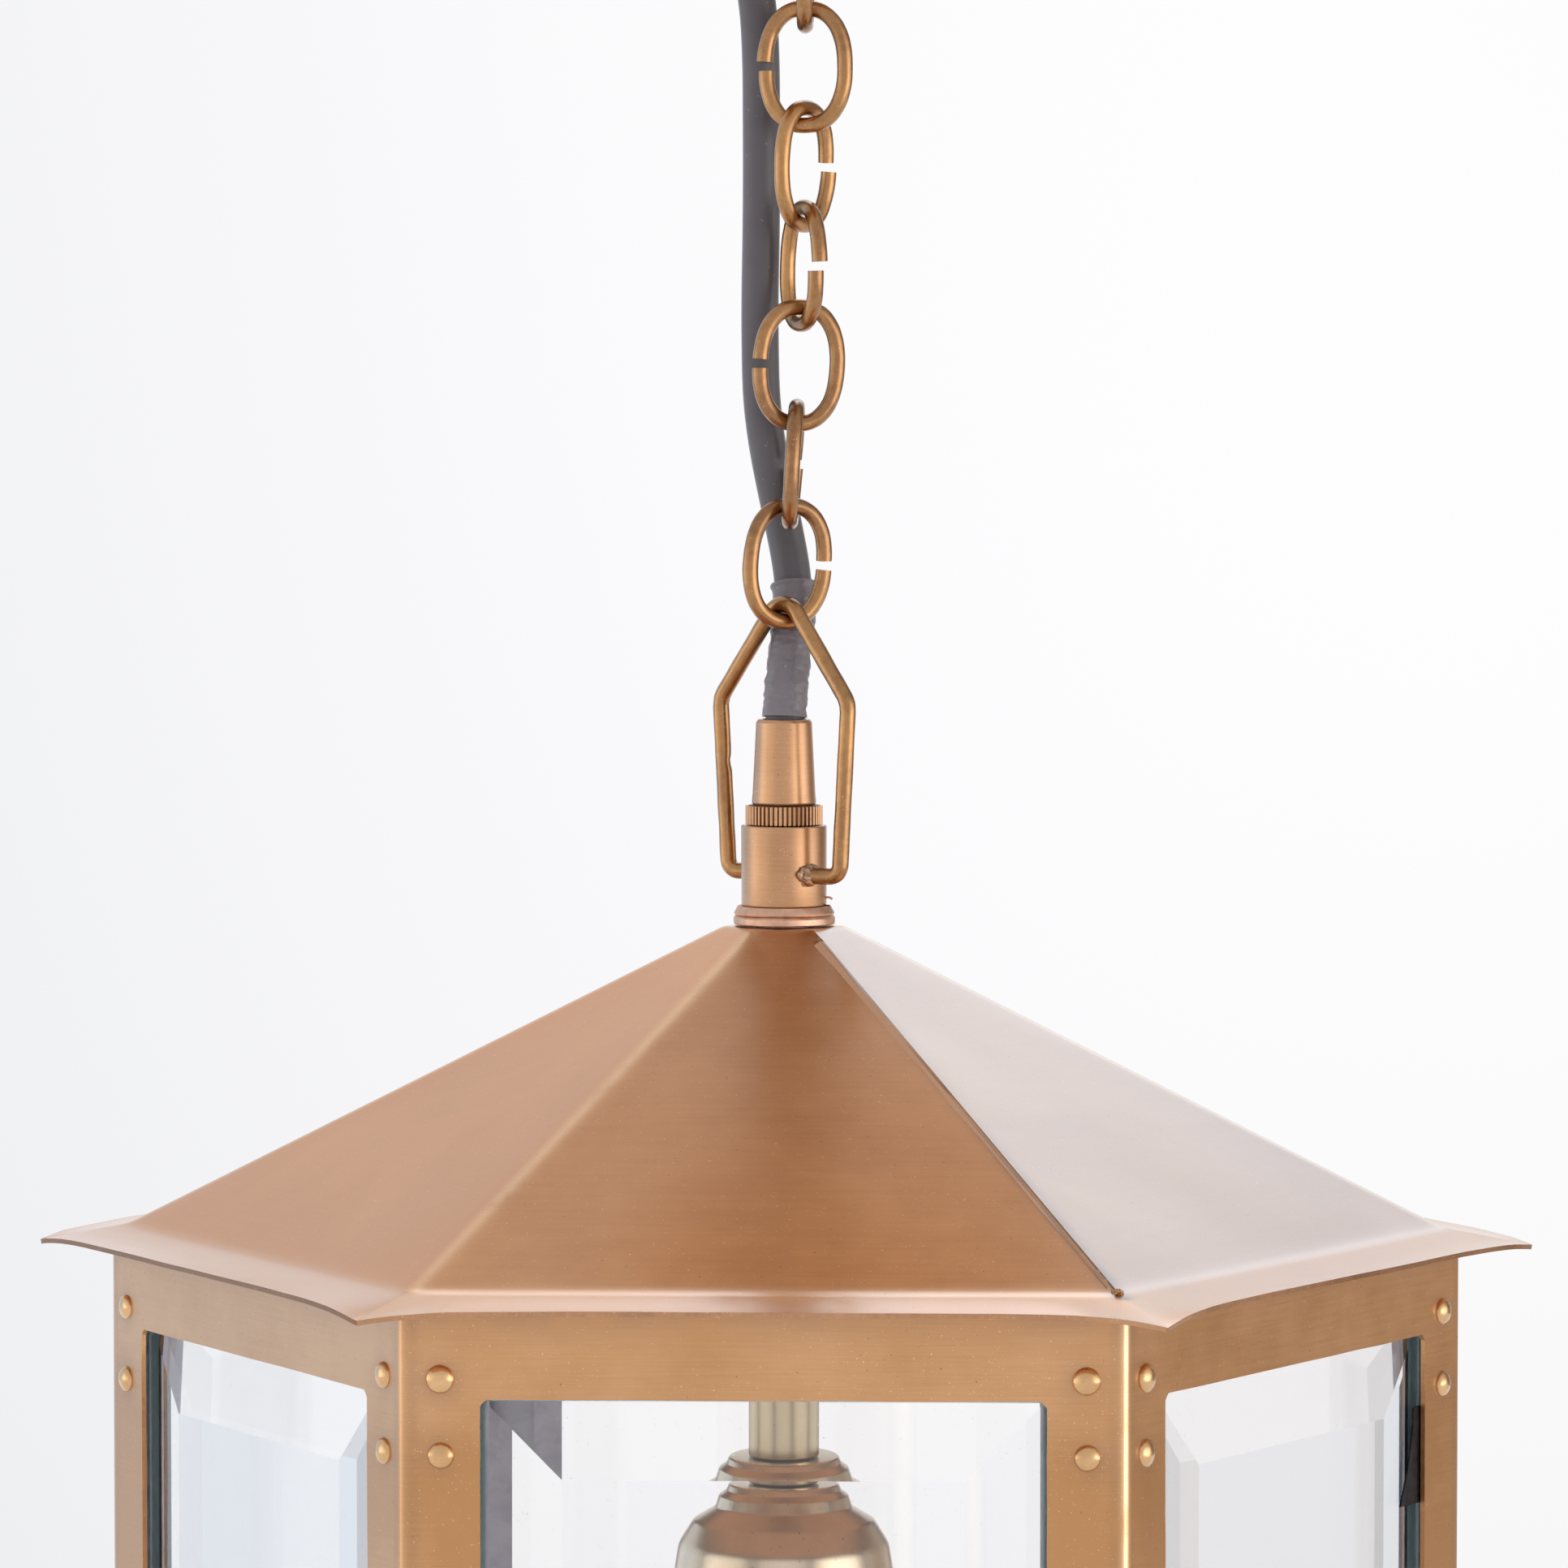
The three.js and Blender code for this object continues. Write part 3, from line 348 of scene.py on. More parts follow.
def brass(name, pale, deep, rough, grain, coat=1.0, coat_rough=0.16, coat_ior=1.5):
    """Aged brass under lacquer. grain is how finely the brushing repeats along x, y and z, per metre."""
    material, tree, place = new_material(name)
    cloud = tree.noise(place, 17, 4, 0.6, 0.4)
    mottle = tree.noise(place, 85, 4, 0.62)
    brushing = tree.noise(tree.stretched(place, grain), 1, 3, 0.6)
    speck = tree.between(tree.noise(place, 2900, 1, 0.5), 0.73, 0.77)
    pit = tree.between(tree.noise(place, 1300, 1, 0.5), 0.745, 0.79)
    # On the roof the stored tone is painted light and shade: each side paler or darker towards its top.
    tone = tree.between(0.55 * cloud + 0.25 * mottle + 0.2 * brushing, 0.37, 0.63) + tree.attribute("tone")
    colour = tree.mixed(tone, deep, pale)
    # wear: paler, smoother metal on hips and corners, partly wear and partly a painted highlight.
    wear = tree.attribute("wear") * tree.between(mottle, 0.1, 0.5)
    # grime: darker, rougher metal, partly grime and partly painted shade round the rivets and under the
    # brim.
    grime = tree.attribute("grime") * tree.between(cloud + mottle, 0.75, 1.1)
    colour = tree.mixed(wear * 0.9, colour, rgb(0.95, 0.63, 0.35))
    colour = tree.mixed(grime * 0.6, colour, rgb(0.13, 0.095, 0.085))
    colour = tree.mixed(speck * 0.55, colour, rgb(0.95, 0.78, 0.58))
    colour = tree.mixed(pit * 0.5, colour, rgb(0.16, 0.1, 0.06))
    roughness = rough + 0.09 * (mottle - 0.5) + 0.1 * (brushing - 0.5) + 0.14 * grime - 0.17 * wear
    bumps = [(brushing, 0.22, 0.00006), (mottle, 0.16, 0.0001), (speck, 0.4, 0.00008)]
    settings = {"Metallic": 1.0, "Coat Weight": coat, "Coat Roughness": coat_rough, "Coat IOR": coat_ior}
    surface(tree, colour, roughness, bumps, settings)
    return material


def plain_metal(name, pale, deep, rough, scale, bump=0.00008):
    """Zinc, copper or solder: blotched, with fine scratches."""
    material, tree, place = new_material(name)
    mottle = tree.noise(place, scale, 4, 0.65, 0.6)
    scratch = tree.noise(tree.stretched(place, (2600, 240, 900), (0.5, 0.3, 0.8)), 1, 2)
    colour = tree.mixed(tree.between(mottle, 0.33, 0.66), deep, pale)
    roughness = rough + 0.22 * (mottle - 0.5) + 0.12 * (scratch - 0.5)
    bumps = [(mottle, 0.35, bump), (scratch, 0.2, 0.00004)]
    surface(tree, colour, roughness, bumps, {"Metallic": 1.0})
    return material


def rubber(name, tone, dust, ribs, rough):
    """Dull cable sheath with dust, small scuffs and faint rings along it."""
    material, tree, place = new_material(name)
    mottle = tree.noise(place, 60, 3, 0.6)
    rings = tree.noise(tree.stretched(place, (90, 90, ribs)), 1, 2)
    grit = tree.noise(place, 1500, 2, 0.5)
    lint = tree.between(tree.noise(place, 1250, 1, 0.5), 0.75, 0.79)
    colour = tree.mixed(tree.between(mottle, 0.3, 0.7), tone, tuple(0.78 * c for c in tone[:3]) + (1,))
    colour = tree.mixed(lint * 0.65, colour, dust)
    roughness = rough + 0.16 * (mottle - 0.5) + 0.1 * lint
    bumps = [(rings, 0.25, 0.00025), (grit, 0.2, 0.00008)]
    surface(tree, colour, roughness, bumps, {"Specular IOR Level": 0.45, "Sheen Weight": 0.25})
    return material


def ceramic(name, tone, shade):
    """Glazed white porcelain with faint cloudiness and pinholes."""
    material, tree, place = new_material(name)
    cloud = tree.noise(place, 70, 3)
    pin = tree.between(tree.noise(place, 900, 1), 0.72, 0.76)
    colour = tree.mixed(tree.between(cloud, 0.35, 0.65), tone, shade)
    colour = tree.mixed(pin * 0.6, colour, rgb(0.45, 0.4, 0.34))
    settings = {"Coat Weight": 0.6, "Coat Roughness": 0.1}
    surface(tree, colour, 0.22 + 0.14 * cloud, [(cloud, 0.2, 0.0002)], settings)
    return material


def glass_body():
    """Clear plate glass, faintly wiped."""
    material, tree, place = new_material("clear_plate_glass")
    wipe = tree.noise(tree.stretched(place, (30, 30, 9)), 1, 4, 0.6)
    dust = tree.between(tree.noise(place, 1300, 1), 0.74, 0.78)
    colour = tree.mixed(dust * 0.4, rgb(0.99, 0.993, 0.995), rgb(0.75, 0.75, 0.75))
    roughness = 0.01 + 0.03 * tree.between(wipe, 0.5, 0.75) + 0.15 * dust
    settings = {"Transmission Weight": 1.0, "IOR": 1.5}
    surface(tree, colour, roughness, [], settings)
    return material


def glass_rim():
    """The ground rim of a pane, teal where one looks into its depth."""
    material, tree, place = new_material("ground_glass_rim")
    nick = tree.noise(place, 420, 3, 0.7)
    band = tree.noise(tree.stretched(place, (900, 900, 6)), 1, 2)
    colour = tree.mixed(tree.between(nick + band, 0.75, 1.25), rgb(0.35, 0.66, 0.7), rgb(0.62, 0.86, 0.88))
    settings = {"Transmission Weight": 0.6, "IOR": 1.5}
    surface(tree, colour, 0.25 + 0.3 * nick, [(nick, 0.4, 0.0003)], settings)
    return material


def opal():
    """Satin opal lamp glass, a little cloudy."""
    material, tree, place = new_material("opal_lamp_glass")
    cloud = tree.noise(place, 45, 3)
    colour = tree.mixed(tree.between(cloud, 0.3, 0.7), rgb(0.86, 0.85, 0.81), rgb(0.93, 0.92, 0.89))
    settings = {"Subsurface Weight": 0.25, "Subsurface Radius": (0.01, 0.009, 0.008), "Coat Weight": 0.3}
    surface(tree, colour, 0.3 + 0.12 * cloud, [(cloud, 0.1, 0.0001)], settings)
    return material


HORIZONTAL = (55, 55, 2400)
UPRIGHT = (2000, 2000, 40)
ROUND_GRAIN = (160, 160, 3200)

roof_brass = brass(
    "roof_brass", rgb(0.64, 0.3, 0.11), rgb(0.52, 0.225, 0.075), 0.36, HORIZONTAL,
    coat_rough=0.17, coat_ior=1.9,
)
body_brass = brass("body_brass", rgb(0.67, 0.37, 0.17), rgb(0.53, 0.26, 0.09), 0.36, HORIZONTAL)
wire_brass = brass("wire_brass", rgb(0.56, 0.29, 0.1), rgb(0.25, 0.115, 0.04), 0.3, (700, 700, 700), 0.8)
turned_brass = brass(
    "turned_brass", rgb(0.62, 0.335, 0.165), rgb(0.42, 0.21, 0.09), 0.33, ROUND_GRAIN, coat_rough=0.27,
)
# Near-black brass: painted shade in the grooves between the nut's ridges.
groove_brass = brass("groove_brass", rgb(0.2, 0.1, 0.05), rgb(0.08, 0.04, 0.02), 0.5, ROUND_GRAIN, 0.3)
tinned_sheet = plain_metal("tinned_sheet", rgb(0.42, 0.4, 0.45), rgb(0.27, 0.26, 0.3), 0.4, 130)
rivet_brass = brass(
    "rivet_brass", rgb(0.78, 0.5, 0.24), rgb(0.55, 0.3, 0.12), 0.24, (500, 500, 500), coat_rough=0.1,
)
satin_brass = brass("satin_brass", rgb(0.7, 0.58, 0.38), rgb(0.55, 0.43, 0.26), 0.32, UPRIGHT, 0.5)
cup_brass = brass("cup_brass", rgb(0.9, 0.75, 0.54), rgb(0.76, 0.61, 0.43), 0.32, UPRIGHT, 0.5)
cut_edge = brass("cut_brass_edge", rgb(0.95, 0.55, 0.25), rgb(0.6, 0.28, 0.11), 0.42, (900, 900, 900), 0.3)
dark_edge = brass("sheared_edge", rgb(0.55, 0.3, 0.16), rgb(0.28, 0.14, 0.07), 0.4, (900, 900, 900), 0.3)
solder = plain_metal("braze_metal", rgb(0.66, 0.46, 0.32), rgb(0.26, 0.15, 0.09), 0.36, 900, 0.0004)
copper = plain_metal("copper_disc", rgb(0.78, 0.5, 0.36), rgb(0.56, 0.33, 0.225), 0.4, 240)
zinc = plain_metal("zinc_plate", rgb(0.62, 0.63, 0.64), rgb(0.42, 0.43, 0.44), 0.36, 160)
# Near-black sheet: painted shade, used for the glass tab.
shade_dark_sheet = plain_metal("blackened_sheet", rgb(0.05, 0.05, 0.055), rgb(0.02, 0.02, 0.022), 0.55, 300)
cable_rubber = rubber("cable_sheath", rgb(0.1, 0.092, 0.104), rgb(0.36, 0.34, 0.34), 700, 0.42)
sleeve_rubber = rubber("shrunk_sleeve", rgb(0.2, 0.18, 0.2), rgb(0.5, 0.47, 0.45), 900, 0.3)
porcelain = ceramic("porcelain", rgb(0.82, 0.8, 0.75), rgb(0.72, 0.7, 0.65))
clear_glass = glass_body()
rim_glass = glass_rim()
opal_glass = opal()

# ---------------- mesh helpers

ON_AXIS = 1e-6
DOUBLES = 1e-7  # metres, within which two points are one


def new_mesh(name, points, faces, materials, hung=True, sharp=SHARP):
    """A smooth-shaded piece; the points of a hung one count from the lantern's axis and brim plane."""
    shift = Vector((AXIS_X, 0, BRIM_Z)) if hung else Vector((0, 0, 0))
    mesh = bpy.data.meshes.new(name)
    mesh.from_pydata([(Vector(point) + shift) * MM for point in points], [], faces)
    for material in materials:
        mesh.materials.append(material)
    obj = bpy.data.objects.new(name, mesh)
    bpy.context.scene.collection.objects.link(obj)
    soften(obj, sharp)
    return obj


def soften(obj, sharp):
    obj.data.shade_smooth()
    obj.data.set_sharp_from_angle(angle=math.radians(sharp))


def outward(obj):
    """Merge doubles and turn every face of a closed piece outwards."""
    shape = bmesh.new()
    shape.from_mesh(obj.data)
    bmesh.ops.remove_doubles(shape, verts=shape.verts, dist=DOUBLES)
    bmesh.ops.recalc_face_normals(shape, faces=shape.faces)
    shape.to_mesh(obj.data)
    shape.free()
    return obj


def settled(obj, sharp=SHARP):
    """Turn the modifiers' result into the piece's own plain mesh."""
    view = bpy.context.evaluated_depsgraph_get()
    mesh = bpy.data.meshes.new_from_object(obj.evaluated_get(view), depsgraph=view)
    obj.modifiers.clear()
    obj.data = mesh
    mesh.name = obj.name
    soften(obj, sharp)
    return obj


def thickened(obj, thickness, sharp, folded=True):
    """Give a surface its thickness inwards. A folded sheet keeps it round the folds and shows a cut rim."""
    solid = obj.modifiers.new("sheet", "SOLIDIFY")
    solid.thickness = thickness * MM
    solid.offset = -1
    solid.use_even_offset = folded
    solid.material_offset_rim = 1 if folded else 0
    return settled(obj, sharp)


def turned_part(name, slot, node, rows, material, body="lantern", closed=True, steps=3, **how):
    """Turn rows of (radius, height, rounding) and put the piece in the place of its CAD node."""
    return finished(turned_piece(name, section(rows, closed, steps), material, **how), body, slot, node)


def combined(obj, other, operation):
    """Join or cut a closed piece with another one, which is then removed."""
    modifier = obj.modifiers.new("cut", "BOOLEAN")
    modifier.operation = operation
    modifier.object = other
    modifier.solver = "EXACT"
    settled(obj)
    bpy.data.objects.remove(other)
    return obj


def finished(obj, body, slot, *nodes):
    """Put a piece on its body and hide the CAD nodes it stands for. The slot, a finish's name, is not used.
    """
    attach(obj, body)
    if nodes:
        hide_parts(*nodes)
    return obj


NEARLY_STRAIGHT = 0.99 * math.pi / 2
CUT_SHARE = 0.48  # of a side, the most that one rounding may take


def filleted(corners, closed=False, steps=4):
    """A line through (point, radius) corners, with a true arc at each rounded one."""
    line = []
    count = len(corners)
    for i, (point, radius) in enumerate(corners):
        here = Vector(point)
        if radius == 0 or (not closed and i in (0, count - 1)):
            line.append(here)
            continue
        back = Vector(corners[i - 1][0]) - here
        onward = Vector(corners[(i + 1) % count][0]) - here
        half = back.angle(onward) / 2
        if half > NEARLY_STRAIGHT:
            line.append(here)
            continue
        cut = min(radius / math.tan(half), CUT_SHARE * back.length, CUT_SHARE * onward.length)
        back.normalize()
        onward.normalize()
        centre = here + (back + onward).normalized() * (cut / math.cos(half))
        start = here + back * cut - centre
        end = here + onward * cut - centre
        sweep = start.angle(end)
        for step in range(steps + 1):
            t = step / steps
            arm = start * math.sin((1 - t) * sweep) + end * math.sin(t * sweep)
            line.append(centre + arm / math.sin(sweep))
    return line


def section(rows, closed=True, steps=3):
    """A lathe profile from rows of (radius, height, rounding)."""
    return filleted([((radius, height), rounding) for radius, height, rounding in rows], closed, steps)


def bell(distance, width):
    return math.exp(-((distance / width) ** 2))


def ripple(x, y, z):
    """Smooth noise at a place, about -1 to 1."""
    return noise.noise(Vector((x, y, z)))


def polar(reach, angle, z):
    return reach * math.cos(angle), reach * math.sin(angle), z


def direction(angle):
    """Level unit vector at this angle from +X."""
    return Vector((math.cos(angle), math.sin(angle), 0))


def panel_angle(panel):
    """Which way a side of the hexagon faces; the first one faces the front."""
    return math.radians(-90 + 60 * panel)


def ring_faces(near, far, segments):
    """Quads between two rings of points, given where each ring starts."""
    pairs = [(s, (s + 1) % segments) for s in range(segments)]
    return [[near + s, near + t, far + t, far + s] for s, t in pairs]


def turned_piece(name, profile, material, segments=96, centre=(0, 0), hung=True, sharp=SHARP, wobble=None):
    """Turn a profile round an upright axis. A profile that starts on the axis also ends there."""
    points = []
    rings = []
    for radius, height in profile:
        if radius < ON_AXIS:
            rings.append([len(points)] * segments)
            points.append((centre[0], centre[1], height))
            continue
        ring = []
        for i in range(segments):
            angle = 2 * math.pi * i / segments
            reach = radius + (wobble(angle, height) if wobble else 0)
            x, y, z = polar(reach, angle, height)
            ring.append(len(points))
            points.append((centre[0] + x, centre[1] + y, z))
        rings.append(ring)
    faces = []
    open_ended = profile[0][0] < ON_AXIS
    for r in range(len(rings) - (1 if open_ended else 0)):
        near, far = rings[r], rings[(r + 1) % len(rings)]
        for i in range(segments):
            j = (i + 1) % segments
            corners = [near[i], near[j], far[j], far[i]]
            faces.append(list(dict.fromkeys(corners)))
    faces = [face for face in faces if len(face) > 2]
    return outward(new_mesh(name, points, faces, [material], hung, sharp))


def tube_shape(path, radius, sides):
    """Points and faces of a tube with ends; radius is a number or a rule of (share of length, angle)."""
    count = len(path)
    points, faces = [], []
    tangent = (path[1] - path[0]).normalized()
    across = tangent.orthogonal().normalized()
    for i, here in enumerate(path):
        ahead = path[min(i + 1, count - 1)] - path[max(i - 1, 0)]
        across = (across - across.project(ahead)).normalized()
        third = ahead.normalized().cross(across)
        for s in range(sides):
            angle = 2 * math.pi * s / sides
            reach = radius(i / (count - 1), angle) if callable(radius) else radius
            points.append(here + reach * (math.cos(angle) * across + math.sin(angle) * third))
    for i in range(count - 1):
        faces += ring_faces(i * sides, (i + 1) * sides, sides)
    faces.append(list(range(sides))[::-1])
    faces.append(list(range((count - 1) * sides, count * sides)))
    return points, faces


def bumpy_lump(name, centre, radii, material, turn=0.0, seed=0.0, rough=0.25, hung=True):
    """A small lump of braze or solder: a ball pushed about by noise."""
    shape = bmesh.new()
    bmesh.ops.create_icosphere(shape, subdivisions=4, radius=1)
    turning = Matrix.Rotation(turn, 3, "Z")
    points = []
    for vertex in shape.verts:
        push = 1 + rough * noise.fractal(vertex.co * 1.7 + Vector((seed, 0, 0)), 0.8, 2.1, 4)
        push += 0.35 * rough * noise.noise(vertex.co * 6 + Vector((0, seed, 0)))
        scaled = Vector(c * r for c, r in zip(vertex.co * push, radii))
        points.append(turning @ scaled + Vector(centre))
    faces = [[v.index for v in face.verts] for face in shape.faces]
    shape.free()
    return outward(new_mesh(name, points, faces, [material], hung, ROUND_SHARP))


# ---------------- camera


def place_camera():
    camera = bpy.data.cameras.new("camera")
    camera.lens = LENS
    camera.sensor_width = SENSOR
    eye = bpy.data.objects.new("camera", camera)
    away = Matrix.Rotation(EYE_TURN, 3, "Z") @ Vector((0, -EYE_DISTANCE, EYE_RISE))
    eye.location = (Vector((AXIS_X, 0, BRIM_Z)) + away) * MM
    eye.rotation_euler = (math.pi / 2 - EYE_DIP, 0, EYE_TURN)
    bpy.context.scene.collection.objects.link(eye)
    bpy.context.scene.camera = eye


place_camera()

# ---------------- supply cable


def route_line():
    """The route as a smooth line: a centripetal curve through the chosen points."""
    knots = [Vector(point) for point in CABLE_ROUTE]
    knots = [2 * knots[0] - knots[1], *knots, 2 * knots[-1] - knots[-2]]
    line = []
    for before, start, end, after in zip(knots, knots[1:], knots[2:], knots[3:]):
        came, going, next_one = start - before, end - start, after - end
        first, second, third = (step.length**0.5 for step in (came, going, next_one))
        leave = (came / first - (end - before) / (first + second) + going / second) * second
        arrive = (going / second - (after - start) / (second + third) + next_one / third) * second
        for step in range(ROUTE_STEPS):
            t = step / ROUTE_STEPS
            line.append(
                (2 * t**3 - 3 * t**2 + 1) * start + (t**3 - 2 * t**2 + t) * leave
                + (3 * t**2 - 2 * t**3) * end + (t**3 - t**2) * arrive
            )
    line.append(Vector(CABLE_ROUTE[-1]))
    return line


def line_length(line):
    return sum((b - a).length for a, b in zip(line, line[1:]))


cable_line = route_line()
contacts = {joint["child"]: Vector(joint["pos_m"]) for joint in frame["joints"]}


def hook_to_chain(obj):
    """Let the cable's points follow the links and the lantern beside them."""
    followers = [(body, contacts[body].z) for body in contacts if body != "bulb"]
    points = obj.data.splines[0].bezier_points
    for i, (body, top) in enumerate(followers):
        bottom = followers[i + 1][1] if i + 1 < len(followers) else -1
        held = [n for n, point in enumerate(points) if bottom <= point.co.z < top]
        if not held:
            continue
        hook = obj.modifiers.new("follow_" + body, "HOOK")
        hook.object = frame["bodies"][body]
        hook.matrix_inverse = Matrix.Identity(4)
        hook.falloff_type = "NONE"
        hook.strength = 1
        with_handles = [3 * n + part for n in held for part in range(3)]
        hook.vertex_indices_set(with_handles)


def build_cable():
    """The cable as a round curve through the route's points, hooked to the chain."""
    curve = bpy.data.curves.new("supply_cable", "CURVE")
    curve.dimensions = "3D"
    curve.bevel_depth = CABLE_DIAMETER / 2 * MM / POINT_RADIUS
    curve.bevel_resolution = 6
    curve.resolution_u = 5
    curve.use_fill_caps = True
    curve.materials.append(cable_rubber)
    spline = curve.splines.new("BEZIER")
    spline.bezier_points.add(len(CABLE_ROUTE) - 1)
    last = len(cable_line) - 1
    for n, point in enumerate(spline.bezier_points):
        middle = n * ROUTE_STEPS
        here = cable_line[middle]
        point.co = here
        point.radius = POINT_RADIUS
        tangent = (cable_line[min(middle + 1, last)] - cable_line[max(middle - 1, 0)]).normalized()
        reach_in = (here - cable_line[max(middle - ROUTE_STEPS, 0)]).length
        reach_out = (cable_line[min(middle + ROUTE_STEPS, last)] - here).length
        point.handle_left = here - tangent * max(reach_in, reach_out * 0.5) / 3
        point.handle_right = here + tangent * max(reach_out, reach_in * 0.5) / 3
    obj = bpy.data.objects.new("supply_cable", curve)
    bpy.context.scene.collection.objects.link(obj)
    finished(obj, "ceiling_fitting", "cable_rubber", "cable")
    hook_to_chain(obj)
    return obj


def build_sleeve():
    """Shrunk sleeve over the cable above the cord grip, wrinkled where it was squeezed."""
    low, high = (corner.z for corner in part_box("cable_sleeve"))
    low -= 0.9 * GAP * MM
    path = []
    for a, b in zip(cable_line, cable_line[1:]):
        steps = [a.lerp(b, step / SLEEVE_STEPS) / MM for step in range(SLEEVE_STEPS)]
        path += [point for point in steps if low <= point.z * MM <= high]
    length = line_length(path)

    def outside(share, angle):
        along = share * length
        crease = ripple(1.6 * math.cos(angle), 1.6 * math.sin(angle), along * 0.42)
        pucker = ripple(3.2 * math.cos(angle), 3.2 * math.sin(angle), along * 1.1 + 9)
        lip = bell(share - 0.985, 0.02)
        ear = max(0, math.cos(angle + 0.4)) ** 8
        fade = min(1, 6 * (1 - share))
        wrinkles = fade * (0.34 * crease + 0.16 * pucker)
        return SLEEVE_RADIUS + wrinkles + (0.3 + 0.75 * ear) * lip + 0.18 * bell(share, 0.05)

    sides = 64
    outer, faces = tube_shape(path, outside, sides)
    inner, _ = tube_shape(path, CABLE_DIAMETER / 2 + SLEEVE_PLAY, sides)
    top, base = (len(path) - 1) * sides, len(path) * sides
    faces = faces[:-2]
    faces += [[f + base for f in face[::-1]] for face in faces]
    faces += ring_faces(0, base, sides) + ring_faces(top, base + top, sides)
    obj = outward(new_mesh("shrunk_sleeve", outer + inner, faces, [sleeve_rubber], False, ROUND_SHARP))
    return finished(obj, "lantern", "cable_rubber", "cable_sleeve")


supply_cable = build_cable()
sleeve = build_sleeve()
round(line_length(cable_line), 4)

# ---------------- rounded hexagon


def soft_max(a, b, softness):
    high = max(a, b)
    return high + softness * math.log1p(math.exp(-abs(a - b) / softness))


def reach_at(angle, panel, apothem, bends):
    """Distance from the axis to a hexagon's side at this angle; each corner has its own softness."""
    middle = panel_angle(panel)
    turn = (angle - middle + math.pi) % (2 * math.pi) - math.pi
    side = 1 if turn > 0 else -1
    softness = bends[(panel + (1 if side > 0 else 0)) % SIDES]
    near = math.cos(turn)
    far = math.cos(turn - side * math.pi / 3)
    reach = apothem / near
    for _ in range(4):
        value = soft_max(reach * near, reach * far, softness)
        reach -= (value - apothem) / near
    return reach


def hexagon_point(angle, panel, apothem, bends):
    x, y, _ = polar(reach_at(angle, panel, apothem, bends), angle, 0)
    return x, y


def painted(obj, **layers):
    """Store one number for each point in every named layer, for the finishes to read."""
    for name, values in layers.items():
        attribute = obj.data.attributes.new(name, "FLOAT", "POINT")
        attribute.data.foreach_set("value", values)


# ---------------- roof


def roof_height(apothem, across, tip_droop):
    """Height of the roof's top surface; across is 0 in the middle of a side and 1 on the hip."""
    top = ROOF_TOP_RADIUS * COS_30
    fold = FOLD_RADIUS * COS_30
    edge = BRIM_RADIUS * COS_30
    slope = (ROOF_TOP_Z - FOLD_Z) / (fold - top)
    brim = (FOLD_Z - BRIM_EDGE_Z) / (edge - fold)
    z = ROOF_TOP_Z - slope * (apothem - top)
    z = -soft_max(-z, -ROOF_TOP_Z, 0.18)
    z = soft_max(z, FOLD_Z - brim * (apothem - fold), 0.35)
    if apothem > fold:
        out = (apothem - fold) / (edge - fold)
        z -= tip_droop * abs(across) ** 7 * out**1.3
        z -= 0.35 * out * (1 - out) * 4 * (1 - abs(across) ** 6)
    return z


def build_roof():
    """The roof and its brim as one sheet, with one hip left open as a seam."""
    fold = FOLD_RADIUS * COS_30
    half = FOLD_RADIUS / 2
    left = [step - half for step in HIP_OFFSETS]
    offsets = [-half, *left, 0, *[-offset for offset in reversed(left)]]
    columns = [(panel, offset) for panel in range(SIDES) for offset in offsets]
    seam_column = SEAM_HIP * len(offsets)
    rows = [*ROOF_ROWS, BRIM_RADIUS * COS_30]
    points, wear, grime, tone = [], [], [], []
    index, right_of_seam = {}, {}

    def add_point(row, panel, offset, apothem, pull=0.0, sink=0.0):
        middle = panel_angle(panel)
        angle = middle + math.atan2(offset, fold)
        if row == 0:
            x, y, _ = polar(apothem, angle, 0)
        else:
            x, y = hexagon_point(angle, panel, apothem, ROOF_BENDS)
        x -= pull * math.sin(middle)
        y += pull * math.cos(middle)
        across = offset / half
        hip = (panel + (1 if offset > 0 else 0)) % SIDES
        z = roof_height(apothem, across, TIP_DROOPS[hip])
        wave = noise.noise(Vector((x, y, 3)) / 34) * 0.16 + noise.noise(Vector((x, y, 9)) / 90) * 0.3
        z += wave * min(1, max(0, (apothem - 14) / 20)) * (1 - abs(across) ** 8) - sink
        if row == len(rows) - 1:
            z += RIM_RIPPLE * noise.noise(Vector((x, y, 0)) / 5)
        points.append((x, y, z))
        from_hip = (half - abs(offset)) * apothem / fold
        seam = hip == SEAM_HIP and abs(across) > 0.5
        # Hips paler: partly wear, partly a painted highlight.
        wear.append(0 if seam or apothem > fold else 0.6 * bell(from_hip, 1.7))
        low_seam = 0.25 + 0.75 * max(0, (apothem - 60) / 48)
        grime.append(bell(from_hip, 2.4) * low_seam if seam and apothem < fold + 2 else 0)
        # Painted light and shade: each side paler or darker towards its top.
        tone.append(ROOF_PAINTED_FADE[panel] * (1 - 2 * apothem / fold))
        return len(points) - 1

    for r, apothem in enumerate(rows):
        for c, (panel, offset) in enumerate(columns):
            open_here = c == seam_column and SEAM_FROM < apothem < fold - 0.6
            if open_here:
                slit = SEAM_SLIT * (0.7 + 0.3 * ripple(apothem / 9, 0, 4))
                index[r, c] = add_point(r, panel - 1, half, apothem, -slit, 0.16)
                right_of_seam[r, c] = add_point(r, panel, offset, apothem, 0.1, -0.12)
            else:
                index[r, c] = add_point(r, panel, offset, apothem)
    faces = []
    count = len(columns)
    for r in range(len(rows) - 1):
        for c in range(count):
            d = (c + 1) % count
            near = right_of_seam.get((r, c), index[r, c])
            far = right_of_seam.get((r + 1, c), index[r + 1, c])
            faces.append([near, far, index[r + 1, d], index[r, d]])
    obj = new_mesh("roof_sheet", points, faces, [roof_brass, dark_edge], sharp=FOLD_SHARP)
    painted(obj, wear=wear, grime=grime, tone=tone)
    thickened(obj, SHEET, FOLD_SHARP)
    return finished(obj, "lantern", "antique_brass", "roof")


